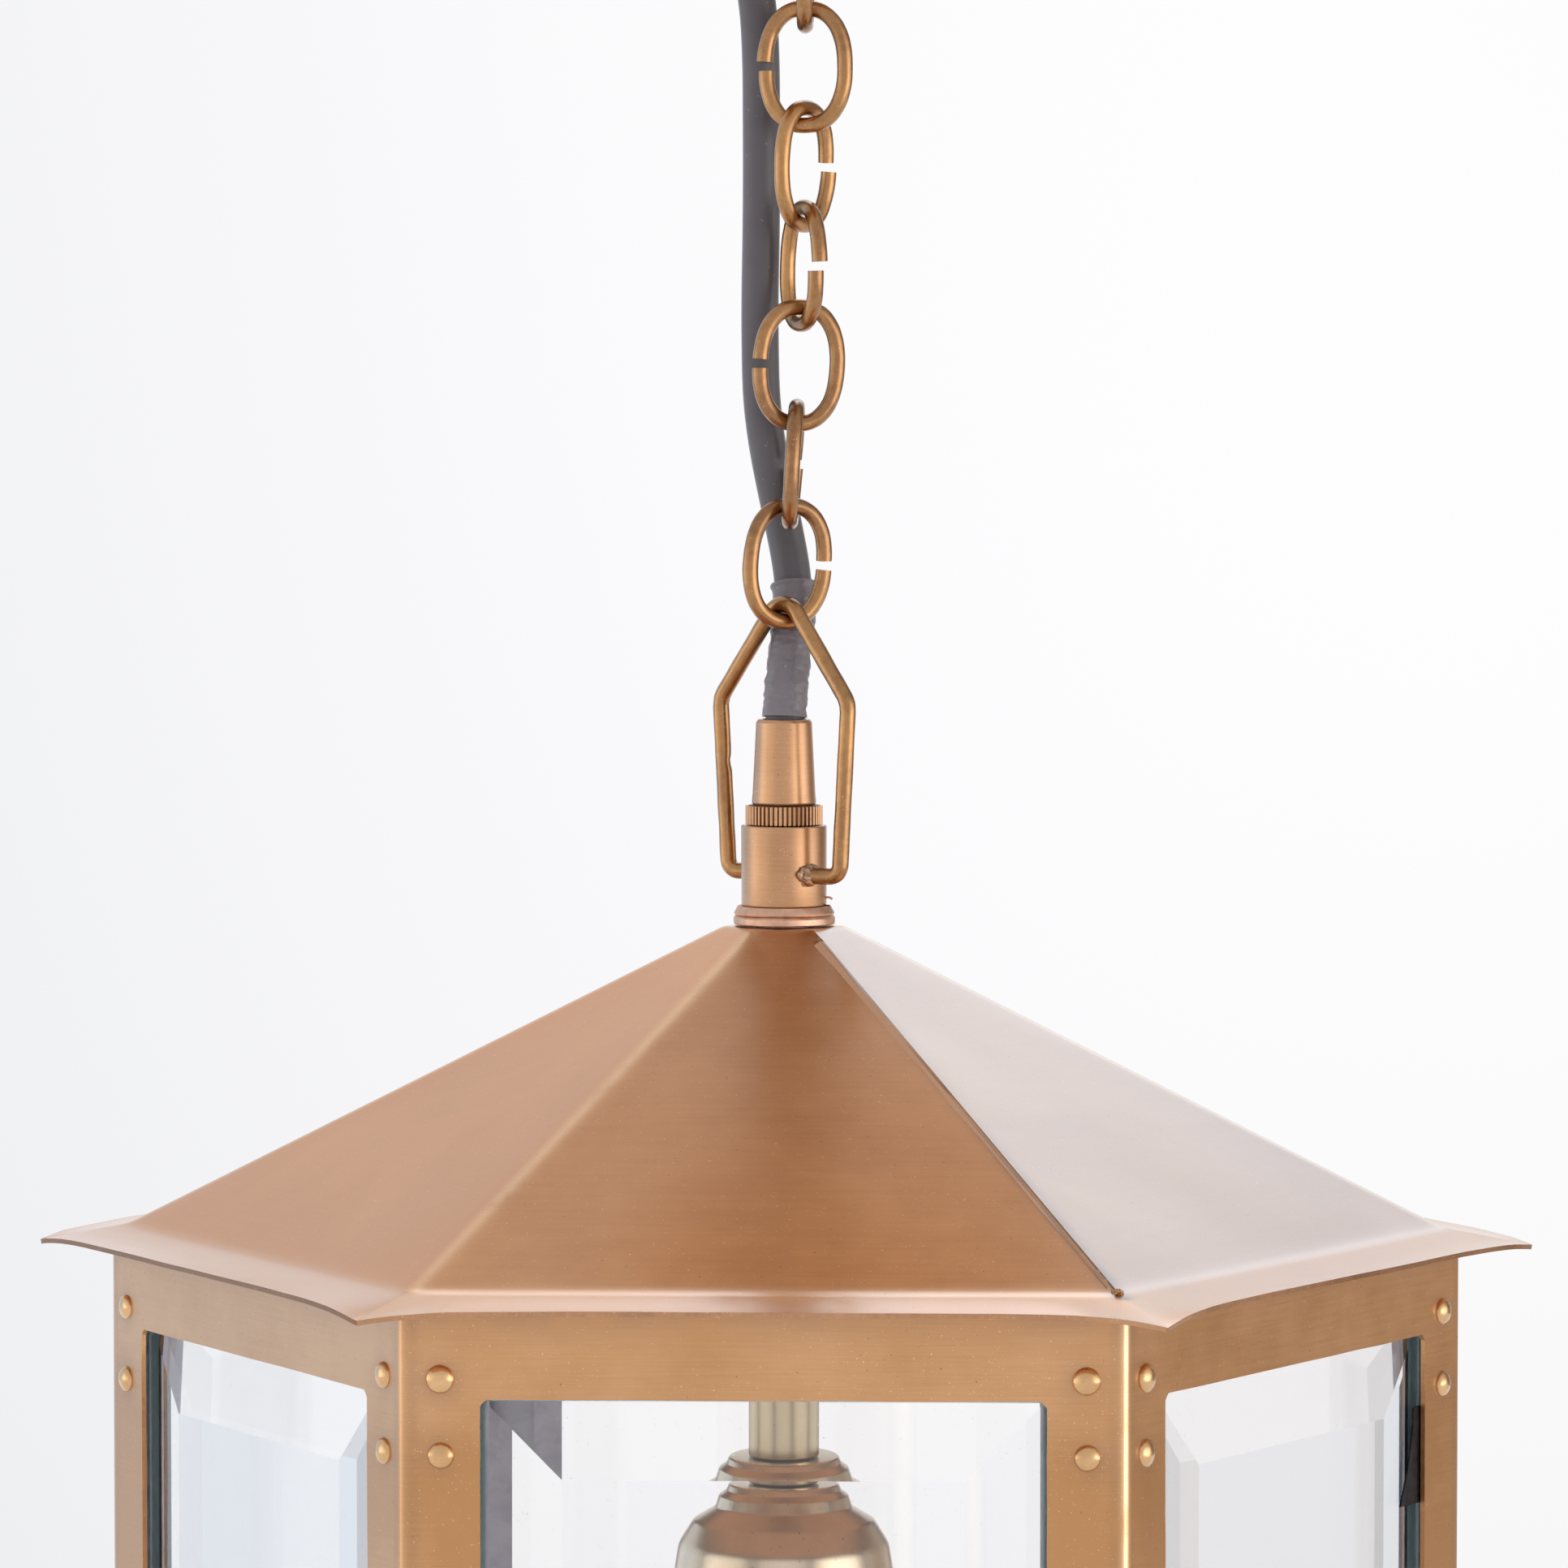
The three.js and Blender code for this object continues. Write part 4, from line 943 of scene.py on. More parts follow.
def build_seam_bead():
    """Braze run along the open hip, lumpier towards its foot."""
    angle = math.radians(-60)
    top, foot = 14, FOLD_RADIUS * COS_30 - 0.4
    path = []
    count = 150
    for i in range(count):
        apothem = top + (foot - top) * i / (count - 1)
        reach = apothem / COS_30
        z = roof_height(apothem, 0, 0) - BEAD_SINK
        path.append(Vector(polar(reach, angle, z)))

    def radius(share, turn):
        lumps = ripple(share * 90, math.cos(turn), math.sin(turn))
        grains = ripple(share * 260, 2 * math.cos(turn), 2 * math.sin(turn))
        swell = 0.12 + 0.3 * max(0, share - 0.72) / 0.28
        return BEAD_RADIUS + swell * lumps + 0.5 * swell * grains + 0.12 * max(0, share - 0.9) / 0.1

    points, faces = tube_shape(path, radius, 14)
    obj = outward(new_mesh("seam_braze", points, faces, [solder], sharp=ROUND_SHARP))
    finished(obj, "lantern", "antique_brass")
    reach = (foot - 0.5) / COS_30
    place = polar(reach, angle, FOLD_Z + 0.3)
    blob = bumpy_lump("seam_blob", place, (1.5, 1.0, 0.75), wire_brass, angle, 3.1, 0.4)
    finished(blob, "lantern", "antique_brass")


build_roof()
build_seam_bead()

# ---------------- body sheet


def build_body():
    """The six face frames as one folded sheet: a grid of points with its windows left open."""
    half = BODY_RADIUS / 2
    left = [-half + step for step in [*POST_OFFSETS, *WINDOW_OFFSETS]]
    offsets = [*left, 0, *[-offset for offset in reversed(left)]]
    drops = [*RAIL_DROPS, *SIDE_DROPS, BODY_HEIGHT / 2]
    drops += [BODY_HEIGHT - drop for drop in reversed([*RAIL_DROPS, *SIDE_DROPS])]
    columns = [(panel, offset) for panel in range(SIDES) for offset in offsets[:-1]]
    window = half - POST_WIDTH
    low_drop = BODY_HEIGHT - RAIL_HEIGHT
    points, wear, grime, tone = [], [], [], []
    for drop in drops:
        for panel, offset in columns:
            middle = panel_angle(panel)
            angle = middle + math.atan2(offset, APOTHEM)
            x, y = hexagon_point(angle, panel, APOTHEM, BODY_BENDS)
            z = BODY_TOP_Z - drop
            seed = Vector((offset, z, 40 * panel))
            on_side = abs(abs(offset) - window) < 0.01 and RAIL_HEIGHT <= drop <= low_drop
            on_rail = abs(offset) <= window + 0.01 and (drop == RAIL_HEIGHT or drop == low_drop)
            shift = 0.0
            if on_side:
                shift = 0.1 * noise.noise(seed / 2.4) + 0.12 * noise.noise(seed / 17)
            if on_rail:
                z += 0.09 * noise.noise(seed / 2.8) + 0.12 * noise.noise(seed / 21)
            if on_side and on_rail:
                shift -= WINDOW_CORNER * math.copysign(1, offset)
                z += math.copysign(WINDOW_CORNER, drop - BODY_HEIGHT / 2)
            x -= shift * math.sin(middle)
            y += shift * math.cos(middle)
            inner = min(1, (half - abs(offset)) / 5)
            wave = inner * (0.14 * noise.noise(seed / 30) + 0.1 * noise.noise(seed / 75))
            x += wave * math.cos(middle)
            y += wave * math.sin(middle)
            points.append((x, y, z))
            corner = (panel + (1 if offset > 0 else 0)) % SIDES
            # Corners paler: partly wear, partly a painted highlight.
            wear.append(CORNER_WEAR_AND_HIGHLIGHT[corner] * bell(half - abs(offset), 0.9))
            rail = max(0, 1 - max(0, min(drop, BODY_HEIGHT - drop) - RAIL_HEIGHT) / 14)
            tone.append(0.6 * rail - 0.45)
            # Painted shade with some grime: darker round each rivet, in a band under the brim and beside
            # each corner.
            nearest = min(
                math.hypot(half - abs(offset) - RIVET_INSET, min(drop, BODY_HEIGHT - drop) - rivet - 0.5)
                for rivet in RIVET_DROPS
            )
            by_corner = bell(half - abs(offset) - 2, 1.2)
            grime.append(0.75 * bell(nearest, 3.4) + 0.5 * bell(drop, 4.5) + 0.3 * by_corner)
    faces = []
    count = len(columns)
    for r in range(len(drops) - 1):
        for c in range(count):
            d = (c + 1) % count
            middle_drop = (drops[r] + drops[r + 1]) / 2
            first, second = columns[c][1], columns[d][1] if d % (len(offsets) - 1) else half
            middle_offset = abs(first + second) / 2
            if RAIL_HEIGHT < middle_drop < low_drop and middle_offset < window:
                continue
            faces.append([r * count + c, (r + 1) * count + c, (r + 1) * count + d, r * count + d])
    obj = new_mesh("body_sheet", points, faces, [body_brass, cut_edge], sharp=FOLD_SHARP)
    painted(obj, wear=wear, grime=grime, tone=tone)
    shape = bmesh.new()
    shape.from_mesh(obj.data)
    bmesh.ops.delete(shape, geom=[v for v in shape.verts if not v.link_faces], context="VERTS")
    shape.to_mesh(obj.data)
    shape.free()
    thickened(obj, SHEET, FOLD_SHARP)
    nodes = [f"face_frame_{k + 1}" for k in range(SIDES)]
    return finished(obj, "lantern", "antique_brass", *nodes)


build_body()

# ---------------- repeated pieces


def node_group(name, sockets):
    """A Geometry Nodes tree with the named inputs, its helper and its Group Input."""
    group = bpy.data.node_groups.new(name, "GeometryNodeTree")
    group.interface.new_socket("Geometry", in_out="INPUT", socket_type="NodeSocketGeometry")
    for label, kind in sockets:
        group.interface.new_socket(label, in_out="INPUT", socket_type=kind)
    group.interface.new_socket("Geometry", in_out="OUTPUT", socket_type="NodeSocketGeometry")
    tree = Tree(group)
    inputs = group.nodes.new("NodeGroupInput")
    return group, tree, lambda label: Value(tree, inputs.outputs[label])


def closed_tree(tree, geometry, material):
    """Realize, give the material and end the tree."""
    real = tree.add("GeometryNodeRealizeInstances", {"Geometry": geometry})
    smooth = tree.add("GeometryNodeSetShadeSmooth", {"Geometry": real})
    dressed = tree.add("GeometryNodeSetMaterial", {"Geometry": smooth, "Material": material})
    tree.add("NodeGroupOutput", {"Geometry": dressed})


def grown(name, points, edges, group, values, sharp=40, attributes=None):
    """Run a Geometry Nodes tree on a few points or lines and keep its result as a plain mesh."""
    mesh = bpy.data.meshes.new(name)
    mesh.from_pydata([tuple(point) for point in points], edges, [])
    for key, rows in (attributes or {}).items():
        attribute = mesh.attributes.new(key, "FLOAT_VECTOR", "POINT")
        attribute.data.foreach_set("vector", [c for row in rows for c in row])
    obj = bpy.data.objects.new(name, mesh)
    bpy.context.scene.collection.objects.link(obj)
    modifier = obj.modifiers.new("grow", "NODES")
    modifier.node_group = group
    for item in group.interface.items_tree:
        if item.in_out == "INPUT" and item.name in values:
            modifier[item.identifier] = values[item.name]
    return settled(obj, sharp)


def push_out(tree, geometry, seed, scale, amount):
    """Move the surface along its normal by noise, so that no two hand-made pieces are alike."""
    place = tree.add("GeometryNodeInputPosition")
    noise_inputs = {"Vector": place, "W": seed, "Scale": scale, "Detail": 2}
    lifted = tree.add("ShaderNodeTexNoise", noise_inputs, noise_dimensions="4D")
    height = (lifted - 0.5) * amount
    normal = tree.add("GeometryNodeInputNormal")
    offset = tree.add("ShaderNodeVectorMath", {0: normal, "Scale": height}, operation="SCALE")
    return tree.add("GeometryNodeSetPosition", {"Geometry": geometry, "Offset": offset})


def rivet_tree(material):
    """Domed rivet heads on points that carry an 'outward' direction."""
    group, tree, given = node_group("rivet_heads", [
        ("Head Radius", "NodeSocketFloat"), ("Head Height", "NodeSocketFloat"),
        ("Hammering", "NodeSocketFloat"), ("Seed", "NodeSocketInt"),
    ])
    ball = tree.add("GeometryNodeMeshUVSphere", {"Segments": 20, "Rings": 14, "Radius": 1.0})
    place = tree.add("GeometryNodeInputPosition")
    height = tree.add("ShaderNodeSeparateXYZ", {0: place}, out="Z")
    low = tree.add("FunctionNodeCompare", {"A": height, "B": RIVET_CUT}, operation="LESS_THAN")
    dome = tree.add("GeometryNodeDeleteGeometry", {"Geometry": ball, "Selection": low})
    radius = given("Head Radius")
    size = tree.add("ShaderNodeCombineXYZ", {"X": radius, "Y": radius, "Z": given("Head Height")})
    flat = tree.add("GeometryNodeTransform", {"Geometry": dome, "Scale": size})
    way = tree.add("GeometryNodeInputNamedAttribute", {"Name": "outward"}, data_type="FLOAT_VECTOR")
    turn = tree.add("FunctionNodeAlignRotationToVector", {"Vector": way}, axis="Z")
    spread = {2: 1 - RIVET_SPREAD, 3: 1 + RIVET_SPREAD, "Seed": given("Seed")}
    scale = tree.add("FunctionNodeRandomValue", spread, out=1, data_type="FLOAT")
    heads = tree.add("GeometryNodeInstanceOnPoints", {
        "Points": given("Geometry"), "Instance": flat, "Rotation": turn, "Scale": scale,
    })
    real = tree.add("GeometryNodeRealizeInstances", {"Geometry": heads})
    dinted = push_out(tree, real, 3.0, 620.0, given("Hammering"))
    closed_tree(tree, dinted, material)
    return group


def build_rivets():
    """Rivet heads beside each corner, at the top and bottom of every face."""
    points, ways = [], []
    for panel in range(SIDES):
        middle = panel_angle(panel)
        out = direction(middle)
        along = Vector((-out.y, out.x, 0))
        for side in (-1, 1):
            for drop in [*RIVET_DROPS, *[BODY_HEIGHT - row for row in RIVET_DROPS]]:
                place = out * APOTHEM + along * side * (BODY_RADIUS / 2 - RIVET_INSET)
                place += along * 0.35 * ripple(panel * 7, side, drop)
                slip = 0.5 * ripple(drop, panel, side)
                place += Vector((AXIS_X, 0, BRIM_Z + BODY_TOP_Z - drop + slip))
                points.append(place * MM)
                ways.append(out)
    sizes = {
        "Head Radius": RIVET_RADIUS * MM, "Head Height": RIVET_HEIGHT * MM, "Hammering": 0.00025, "Seed": 4,
    }
    obj = grown("rivet_heads", points, [], rivet_tree(rivet_brass), sizes, ROUND_SHARP, {"outward": ways})
    return finished(obj, "lantern", "antique_brass")


def link_tree(material):
    """Wire swept along a line, with its cut ends closed and its surface a little hammered."""
    group, tree, given = node_group("bent_wire", [
        ("Wire Radius", "NodeSocketFloat"), ("Hammering", "NodeSocketFloat"), ("Seed", "NodeSocketFloat"),
    ])
    line = tree.add("GeometryNodeMeshToCurve", {"Mesh": given("Geometry")})
    ring = tree.add("GeometryNodeCurvePrimitiveCircle", {"Resolution": 20, "Radius": given("Wire Radius")})
    wire = tree.add("GeometryNodeCurveToMesh", {"Curve": line, "Profile Curve": ring, "Fill Caps": True})
    closed_tree(tree, push_out(tree, wire, given("Seed"), 260.0, given("Hammering")), material)
    return group


def link_line(skew):
    """A bent link's centreline in the XZ plane: a plump oval, open in the middle of its +X side."""
    across = (LINK_WIDTH - LINK_WIRE) / 2
    along = (LINK_LENGTH - LINK_WIRE) / 2
    power = 2 / LINK_PLUMPNESS
    start = math.asin(min(1, LINK_OPENING / 2 / along) ** (1 / power))
    count = 110
    line = []
    for i in range(count):
        angle = start + (2 * math.pi - 2 * start) * i / (count - 1)
        x = across * math.copysign(abs(math.cos(angle)) ** power, math.cos(angle))
        z = along * math.copysign(abs(math.sin(angle)) ** power, math.sin(angle))
        near_end = max(0, 1 - min(i, count - 1 - i) / 16)
        twist = skew * near_end**2 * (1 if i < count / 2 else -1)
        line.append(Vector((x + 0.25 * twist, twist, z)))
    return line


def build_links():
    """The chain: each link is turned and tilted so that it hangs between its two neighbours."""
    tree = link_tree(wire_brass)
    for i, yaw in enumerate(LINK_YAWS):
        low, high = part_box(f"chain_link_{i + 1}")
        centre = (low + high) / 2 / MM
        above = contacts[f"link_{i + 1}"]
        below = contacts[f"link_{i}" if i else "lantern"]
        tilt = math.atan2(above.x - below.x, above.z - below.z)
        turn = Matrix.Rotation(tilt, 3, "Y") @ Matrix.Rotation(math.radians(yaw), 3, "Z")
        side = LINK_GAP_SIDES[i]
        line = link_line(LINK_SKEWS[i])
        points = [(turn @ Vector((side * p.x, side * p.y, p.z)) + centre) * MM for p in line]
        edges = [(n, n + 1) for n in range(len(points) - 1)]
        sizes = {"Wire Radius": LINK_WIRE / 2 * MM, "Hammering": 0.00022, "Seed": 1.7 * i}
        obj = grown(f"bent_link_{i + 1}", points, edges, tree, sizes)
        finished(obj, f"link_{i + 1}", "antique_brass", f"chain_link_{i + 1}")


def coin_edge_tree(material):
    """A ring of upright ridges round a band."""
    group, tree, given = node_group("coin_edge", [
        ("Radius", "NodeSocketFloat"), ("Height", "NodeSocketFloat"), ("Ridge", "NodeSocketFloat"),
        ("Ridges", "NodeSocketInt"),
    ])
    ring_inputs = {"Resolution": given("Ridges"), "Radius": given("Radius")}
    ring = tree.add("GeometryNodeCurvePrimitiveCircle", ring_inputs)
    ridge = given("Ridge")
    size = tree.add("ShaderNodeCombineXYZ", {"X": ridge, "Y": ridge, "Z": given("Height")})
    bar = tree.add("GeometryNodeMeshCylinder", {"Vertices": 10, "Radius": 1.0, "Depth": 1.0})
    bar = tree.add("GeometryNodeTransform", {"Geometry": bar, "Scale": size})
    places = tree.add("GeometryNodeCurveToPoints", {"Curve": ring}, mode="EVALUATED")
    bars = tree.add("GeometryNodeInstanceOnPoints", {"Points": places, "Instance": bar})
    shifted = tree.add("GeometryNodeInstanceOnPoints", {"Points": given("Geometry"), "Instance": bars})
    closed_tree(tree, shifted, material)
    return group


build_rivets()
build_links()

# ---------------- bail

COLLAR_RADIUS = frame_size("collar")[0]


def build_bail():
    """The bent wire that carries the lantern, with a lump of braze at each foot."""
    foot = Vector((COLLAR_RADIUS + 0.4, 0, BAIL_FOOT[1]))
    foot.rotate(Matrix.Rotation(BAIL_SPLAY, 3, "Z"))
    half = [
        (foot, 0), (Vector((BAIL_FOOT[0], 0, BAIL_FOOT[1])), 2.2),
        (Vector((BAIL_SHOULDER[0], 0, BAIL_SHOULDER[1])), 5),
    ]
    corners = [*half, (Vector((0, 0, BAIL_CORNER_Z)), BAIL_TIP_RADIUS)]
    corners += [(Vector((-point.x, -point.y, point.z)), radius) for point, radius in reversed(half)]
    bends = filleted(corners, steps=14)
    path = []
    for a, b in zip(bends, bends[1:]):
        steps = max(1, round((b - a).length / 0.9))
        path += [a.lerp(b, s / steps) for s in range(steps)]
    path.append(bends[-1])

    def radius(share, angle):
        flat = ripple(share * 40, math.cos(angle), math.sin(angle))
        filed = 0.3 * bell(share - BAIL_NOTCH, 0.006) * max(0, math.cos(angle))
        return BAIL_WIRE / 2 + 0.07 * flat - filed

    points, faces = tube_shape(path, radius, 24)
    turning = Matrix.Rotation(BAIL_YAW, 3, "Z")
    points = [turning @ point for point in points]
    wire = outward(new_mesh("bail_wire", points, faces, [wire_brass], sharp=50))
    finished(wire, "lantern", "antique_brass", "bail")
    for side, name, seed in ((1, "bail_braze_right", 1.3), (-1, "bail_braze_left", 6.2)):
        spot = turning @ Vector((side * foot.x, side * foot.y, foot.z))
        lump = bumpy_lump(name, spot, (1.2, 2.6, 2.0), solder, BAIL_YAW + BAIL_SPLAY, seed, 0.3)
        finished(lump, "lantern", "antique_brass")


build_bail()

# ---------------- stack on top of the roof


def build_flake(radius, high):
    """A curl of swarf left on the rim of the upper washer."""
    out = direction(math.radians(-12))
    path = []
    steps = 23
    for i in range(steps + 1):
        turn = 0.5 + 4.6 * i / steps
        reach = radius - 0.7 + 0.9 * math.cos(turn)
        path.append(reach * out + Vector((0, 0, high + 0.9 + 0.8 * math.sin(turn))))
    points, faces = tube_shape(path, lambda share, turn: 0.2 + 0.12 * share * math.cos(2 * turn), 10)
    flake = outward(new_mesh("washer_flake", points, faces, [copper], sharp=ROUND_SHARP))
    finished(flake, "lantern", "copper_washer")


def seated(node):
    """A node's size, reaching up to the next piece of the stack."""
    radius, low, high = frame_size(node)
    return radius, low, high + SEATED


def build_washers():
    """Two copper discs, neither quite flat nor quite round."""
    bore = STACK_BORE
    radius, low, high = seated("roof_gasket")
    turned_part("lower_washer", "copper_washer", "roof_gasket", [
        (bore, low, 0), (radius - 0.1, low, 0.1), (radius, low + 0.2, 0.1), (radius, high - 0.5, 0.12),
        (radius - 0.45, high, 0.1), (bore, high, 0),
    ], copper, wobble=lambda a, z: 0.06 * math.sin(3 * a + 1) + 0.04 * math.sin(7 * a))
    radius, low, high = seated("top_washer")
    turned_part("upper_washer", "copper_washer", "top_washer", [
        (bore, low, 0), (radius + 0.05, low, 0.08), (radius + 0.2, low + 0.35, 0.1),
        (radius - 0.5, high, 0.15), (bore, high, 0),
    ], copper, wobble=lambda a, z: 0.05 * math.sin(2 * a) + 0.05 * math.sin(5 * a + 2))
    build_flake(radius, high)


def build_collar():
    radius, low, high = seated("collar")
    turned_part("collar_tube", "antique_brass", "collar", [
        (STACK_BORE, low, 0.2), (radius, low, 0.2), (radius, high, 0.3), (STACK_BORE, high, 0.2),
    ], turned_brass, wobble=lambda a, z: 0.04 * math.sin(4 * a + z / 3))


def build_knurled_nut():
    """A band painted near-black as shade in the grooves, with bright upright ridges round it."""
    bore = STACK_BORE
    radius, low, high = seated("knurled_nut")
    groove = radius - 0.42
    turned_part("coin_edge_band", "antique_brass", "knurled_nut", [
        (bore, low, 0), (groove - 0.28, low, 0.1), (groove, low + 0.3, 0.1), (groove, high - 0.3, 0.1),
        (groove - 0.28, high, 0.1), (bore, high, 0),
    ], groove_brass)
    middle = Vector((AXIS_X, 0, (low + high) / 2 + BRIM_Z)) * MM
    ridges = grown("coin_edge_ridges", [middle], [], coin_edge_tree(turned_brass), {
        "Radius": (radius - RIDGE) * MM, "Height": (high - low - RIDGE) * MM, "Ridge": RIDGE * MM,
        "Ridges": RIDGES,
    }, 20)
    finished(ridges, "lantern", "antique_brass")


def build_cord_grip():
    radius, low, high = frame_size("cord_grip")
    hole = CABLE_DIAMETER / 2 + GAP
    turned_part("cord_grip_cone", "antique_brass", "cord_grip", [
        (hole, low, 0), (radius - 0.15, low, 0.15), (radius, low + 0.5, 0.3), (radius - 0.15, low + 2.2, 1),
        (5.3, high - 0.6, 0.5), (4.9, high, 0.35), (hole, high, 0.3), (hole, high - 3, 0),
    ], turned_brass, wobble=lambda a, z: 0.03 * math.sin(3 * a))


build_washers()
build_collar()
build_knurled_nut()
build_cord_grip()

# ---------------- glass


def build_panes():
    """Six panes, each with a wide bevel on its face and a ground rim."""
    half = BODY_RADIUS / 2 - POST_WIDTH + GLASS_OVERLAP
    front = -APOTHEM + SHEET + GAP
    top = BODY_TOP_Z - RAIL_HEIGHT + GLASS_OVERLAP
    low = BODY_BOTTOM_Z + RAIL_HEIGHT - GLASS_OVERLAP
    sink = GLASS_THICKNESS - GLASS_EDGE

    def rectangle(inset, y):
        return [
            (-half + inset, y, low + inset), (half - inset, y, low + inset),
            (half - inset, y, top - inset), (-half + inset, y, top - inset),
        ]

    rings = [
        rectangle(GLASS_BEVEL, front), rectangle(0.25, front + sink), rectangle(0, front + sink + 0.3),
        rectangle(0, front + GLASS_THICKNESS - 0.3), rectangle(0.3, front + GLASS_THICKNESS),
        rectangle(GROUND_BORDER, front + GLASS_THICKNESS),
    ]
    last = 4 * (len(rings) - 1)
    faces = [[0, 1, 2, 3], [last + 3, last + 2, last + 1, last]]
    rims = []
    for r in range(len(rings) - 1):
        for k in range(4):
            a, b = 4 * r + k, 4 * r + (k + 1) % 4
            faces.append([a, a + 4, b + 4, b])
            rims.append(1 if r >= 2 else 0)
    for k in range(SIDES):
        turn = Matrix.Rotation(math.radians(60 * k), 3, "Z")
        points = [turn @ Vector(point) for ring in rings for point in ring]
        obj = new_mesh(f"bevelled_pane_{k + 1}", points, faces, [clear_glass, rim_glass], sharp=1)
        for polygon, rim in zip(list(obj.data.polygons)[2:], rims):
            polygon.material_index = rim
        outward(obj)
        finished(obj, "lantern", "clear_glass", f"glass_pane_{k + 1}")


def build_glass_tab():
    """A sheet tab that holds one pane, cut by hand, with a ragged slanting side; painted near-black as
    shade.
    """
    low, high = TAB_LOW_Z, TAB_HIGH_Z
    shallow = SHEET + GAP + 0.05
    deep = shallow + TAB_SHEET
    rows = 22
    ragged = []
    for i in range(rows + 1):
        t = i / rows
        reach = 16.2 + 5.2 * (1 - t) ** 1.8 + 0.25 * ripple(i * 1.7, 0, 2)
        ragged.append((reach, low + (high - low) * t))
    outline = [(TAB_INSET, high), (TAB_INSET, low), *ragged]
    corner = Vector((BODY_RADIUS, 0, 0))
    along = Vector((-0.5, -COS_30, 0))
    inward = Vector((-COS_30, 0.5, 0))
    count = len(outline)
    points = [
        corner + along * a + inward * depth + Vector((0, 0, z))
        for depth in (shallow, deep)
        for a, z in outline
    ]
    faces = [list(range(count)), list(range(2 * count - 1, count - 1, -1)), *ring_faces(0, count, count)]
    tab = outward(new_mesh("glass_tab", points, faces, [shade_dark_sheet]))
    finished(tab, "lantern", "zinc_steel")


build_panes()
build_glass_tab()

# ---------------- lamp tube, cup and lampholder


def build_tube():
    radius, low, high = frame_size("lamp_tube")
    turned_part("lamp_tube_sleeve", "satin_brass", "lamp_tube", [
        (radius - 0.9, low, 0), (radius, low, 0.25), (radius, high, 0.25), (radius - 0.9, high, 0),
    ], satin_brass)


def build_cup():
    """The cover of the lampholder: a flat top with two steps, a round shoulder and an upright skirt."""
    radius, low, high = frame_size("lamp_cup")
    wall = 1
    outside = [
        (STACK_BORE, high, 0), (10.4, high, 0.5), (10.9, high - 1.2, 0.4), (12.3, high - 2.2, 0.6),
        (13, high - 4.4, 0.8), (17.2, high - 6.9, 2.5), (20, high - 11.4, 5), (20.9, high - 17, 8),
        (21.4, high - 26, 12),
        (radius, high - 36, 10), (radius, low + 1.6, 0.4), (radius, low, 0.5),
    ]
    inside = [
        (radius - wall, low, 0.3), (radius - wall, high - 36, 10),
        (20.4, high - 26, 12), (19.9, high - 17, 8),
        (18.9, high - 12, 5), (16.4, high - 7.9, 2), (12, high - 5.6, 0.5), (10, high - 2.4, 0.5),
        (9.4, high - wall, 0.3), (STACK_BORE, high - wall, 0),
    ]
    turned_part(
        "lamp_cup_bell", "satin_brass", "lamp_cup", [*outside, *inside], cup_brass,
        steps=5, segments=128, sharp=40,
    )


def build_lampholder():
    """The porcelain holder, open below for the bulb's cap."""
    radius, low, high = frame_size("lampholder")
    well = frame_size("screw_shell")[0] + GAP
    floor = frame_size("screw_shell")[2] + GAP
    turned_part("lampholder_body", "white_ceramic", "lampholder", [
        (0, floor, 0), (well, floor, 0.4), (well, low + 0.6, 0.4), (well + 0.8, low, 0.4),
        (radius - 1.2, low, 1), (radius, low + 1.6, 1), (radius, high - 3, 1.5), (radius - 3, high, 1),
        (0, high, 0),
    ], porcelain, closed=False)


def build_bulb_glass():
    """An opal globe whose neck runs smoothly into the cap."""
    radius, low, high = frame_size("bulb_glass")
    ball = low + radius
    neck = frame_size("bulb_cap")[0] + 0.4
    profile = [(0.0, low)]
    for i in range(1, GLOBE_STEPS + 1):
        angle = math.radians(-90 + GLOBE_ARC * i / GLOBE_STEPS)
        profile.append((radius * math.cos(angle), ball + radius * math.sin(angle)))
    start = profile[-1]
    for i in range(1, NECK_STEPS + 1):
        t = i / NECK_STEPS
        smooth = t * t * (3 - 2 * t)
        profile.append((start[0] + (neck - start[0]) * smooth, start[1] + (high - 0.6 - start[1]) * t))
    profile += [(neck - 0.3, high), (0.0, high)]
    obj = turned_piece("lamp_bulb", profile, opal_glass, 64, sharp=50)
    finished(obj, "bulb", "opal_glass", "bulb_glass")


def build_thread(name, node, depth, material, body, slot, hollow):
    """A rolled round thread: rings of points whose radius follows a helix."""
    radius, low, high = frame_size(node)
    segments = 72
    rows = round((high - low) / 0.45)
    points, faces = [], []
    shoulder = 0 if hollow else 6
    for r in range(rows + 1):
        z = low + (high - low) * r / rows
        ease = min(1, (z - low) / 1.5, max(0, high - shoulder - z) / 1.5)
        taper = max(0, (z - (high - shoulder)) / shoulder) if shoulder else 0
        for s in range(segments):
            angle = 2 * math.pi * s / segments
            wave = 0.5 - 0.5 * math.cos(2 * math.pi * (z / LAMP_THREAD_PITCH) + angle)
            reach = radius - depth * wave * ease - taper * (radius - 4.5)
            points.append(polar(reach, angle, z))
    for r in range(rows):
        faces += ring_faces(r * segments, (r + 1) * segments, segments)
    if not hollow:
        faces.append(list(range(segments))[::-1])
        faces.append(list(range(rows * segments, (rows + 1) * segments)))
    obj = new_mesh(name, points, faces, [material], sharp=50)
    if hollow:
        thickened(obj, THREAD_WALL, 50, folded=False)
    else:
        outward(obj)
    finished(obj, body, slot, node)


build_tube()
build_cup()
build_lampholder()
build_thread("screw_shell_thread", "screw_shell", 0.55, satin_brass, "lantern", "satin_brass", hollow=True)
build_thread("lamp_cap_thread", "bulb_cap", 0.6, zinc, "bulb", "zinc_steel", hollow=False)
build_bulb_glass()

# ---------------- ceiling fitting


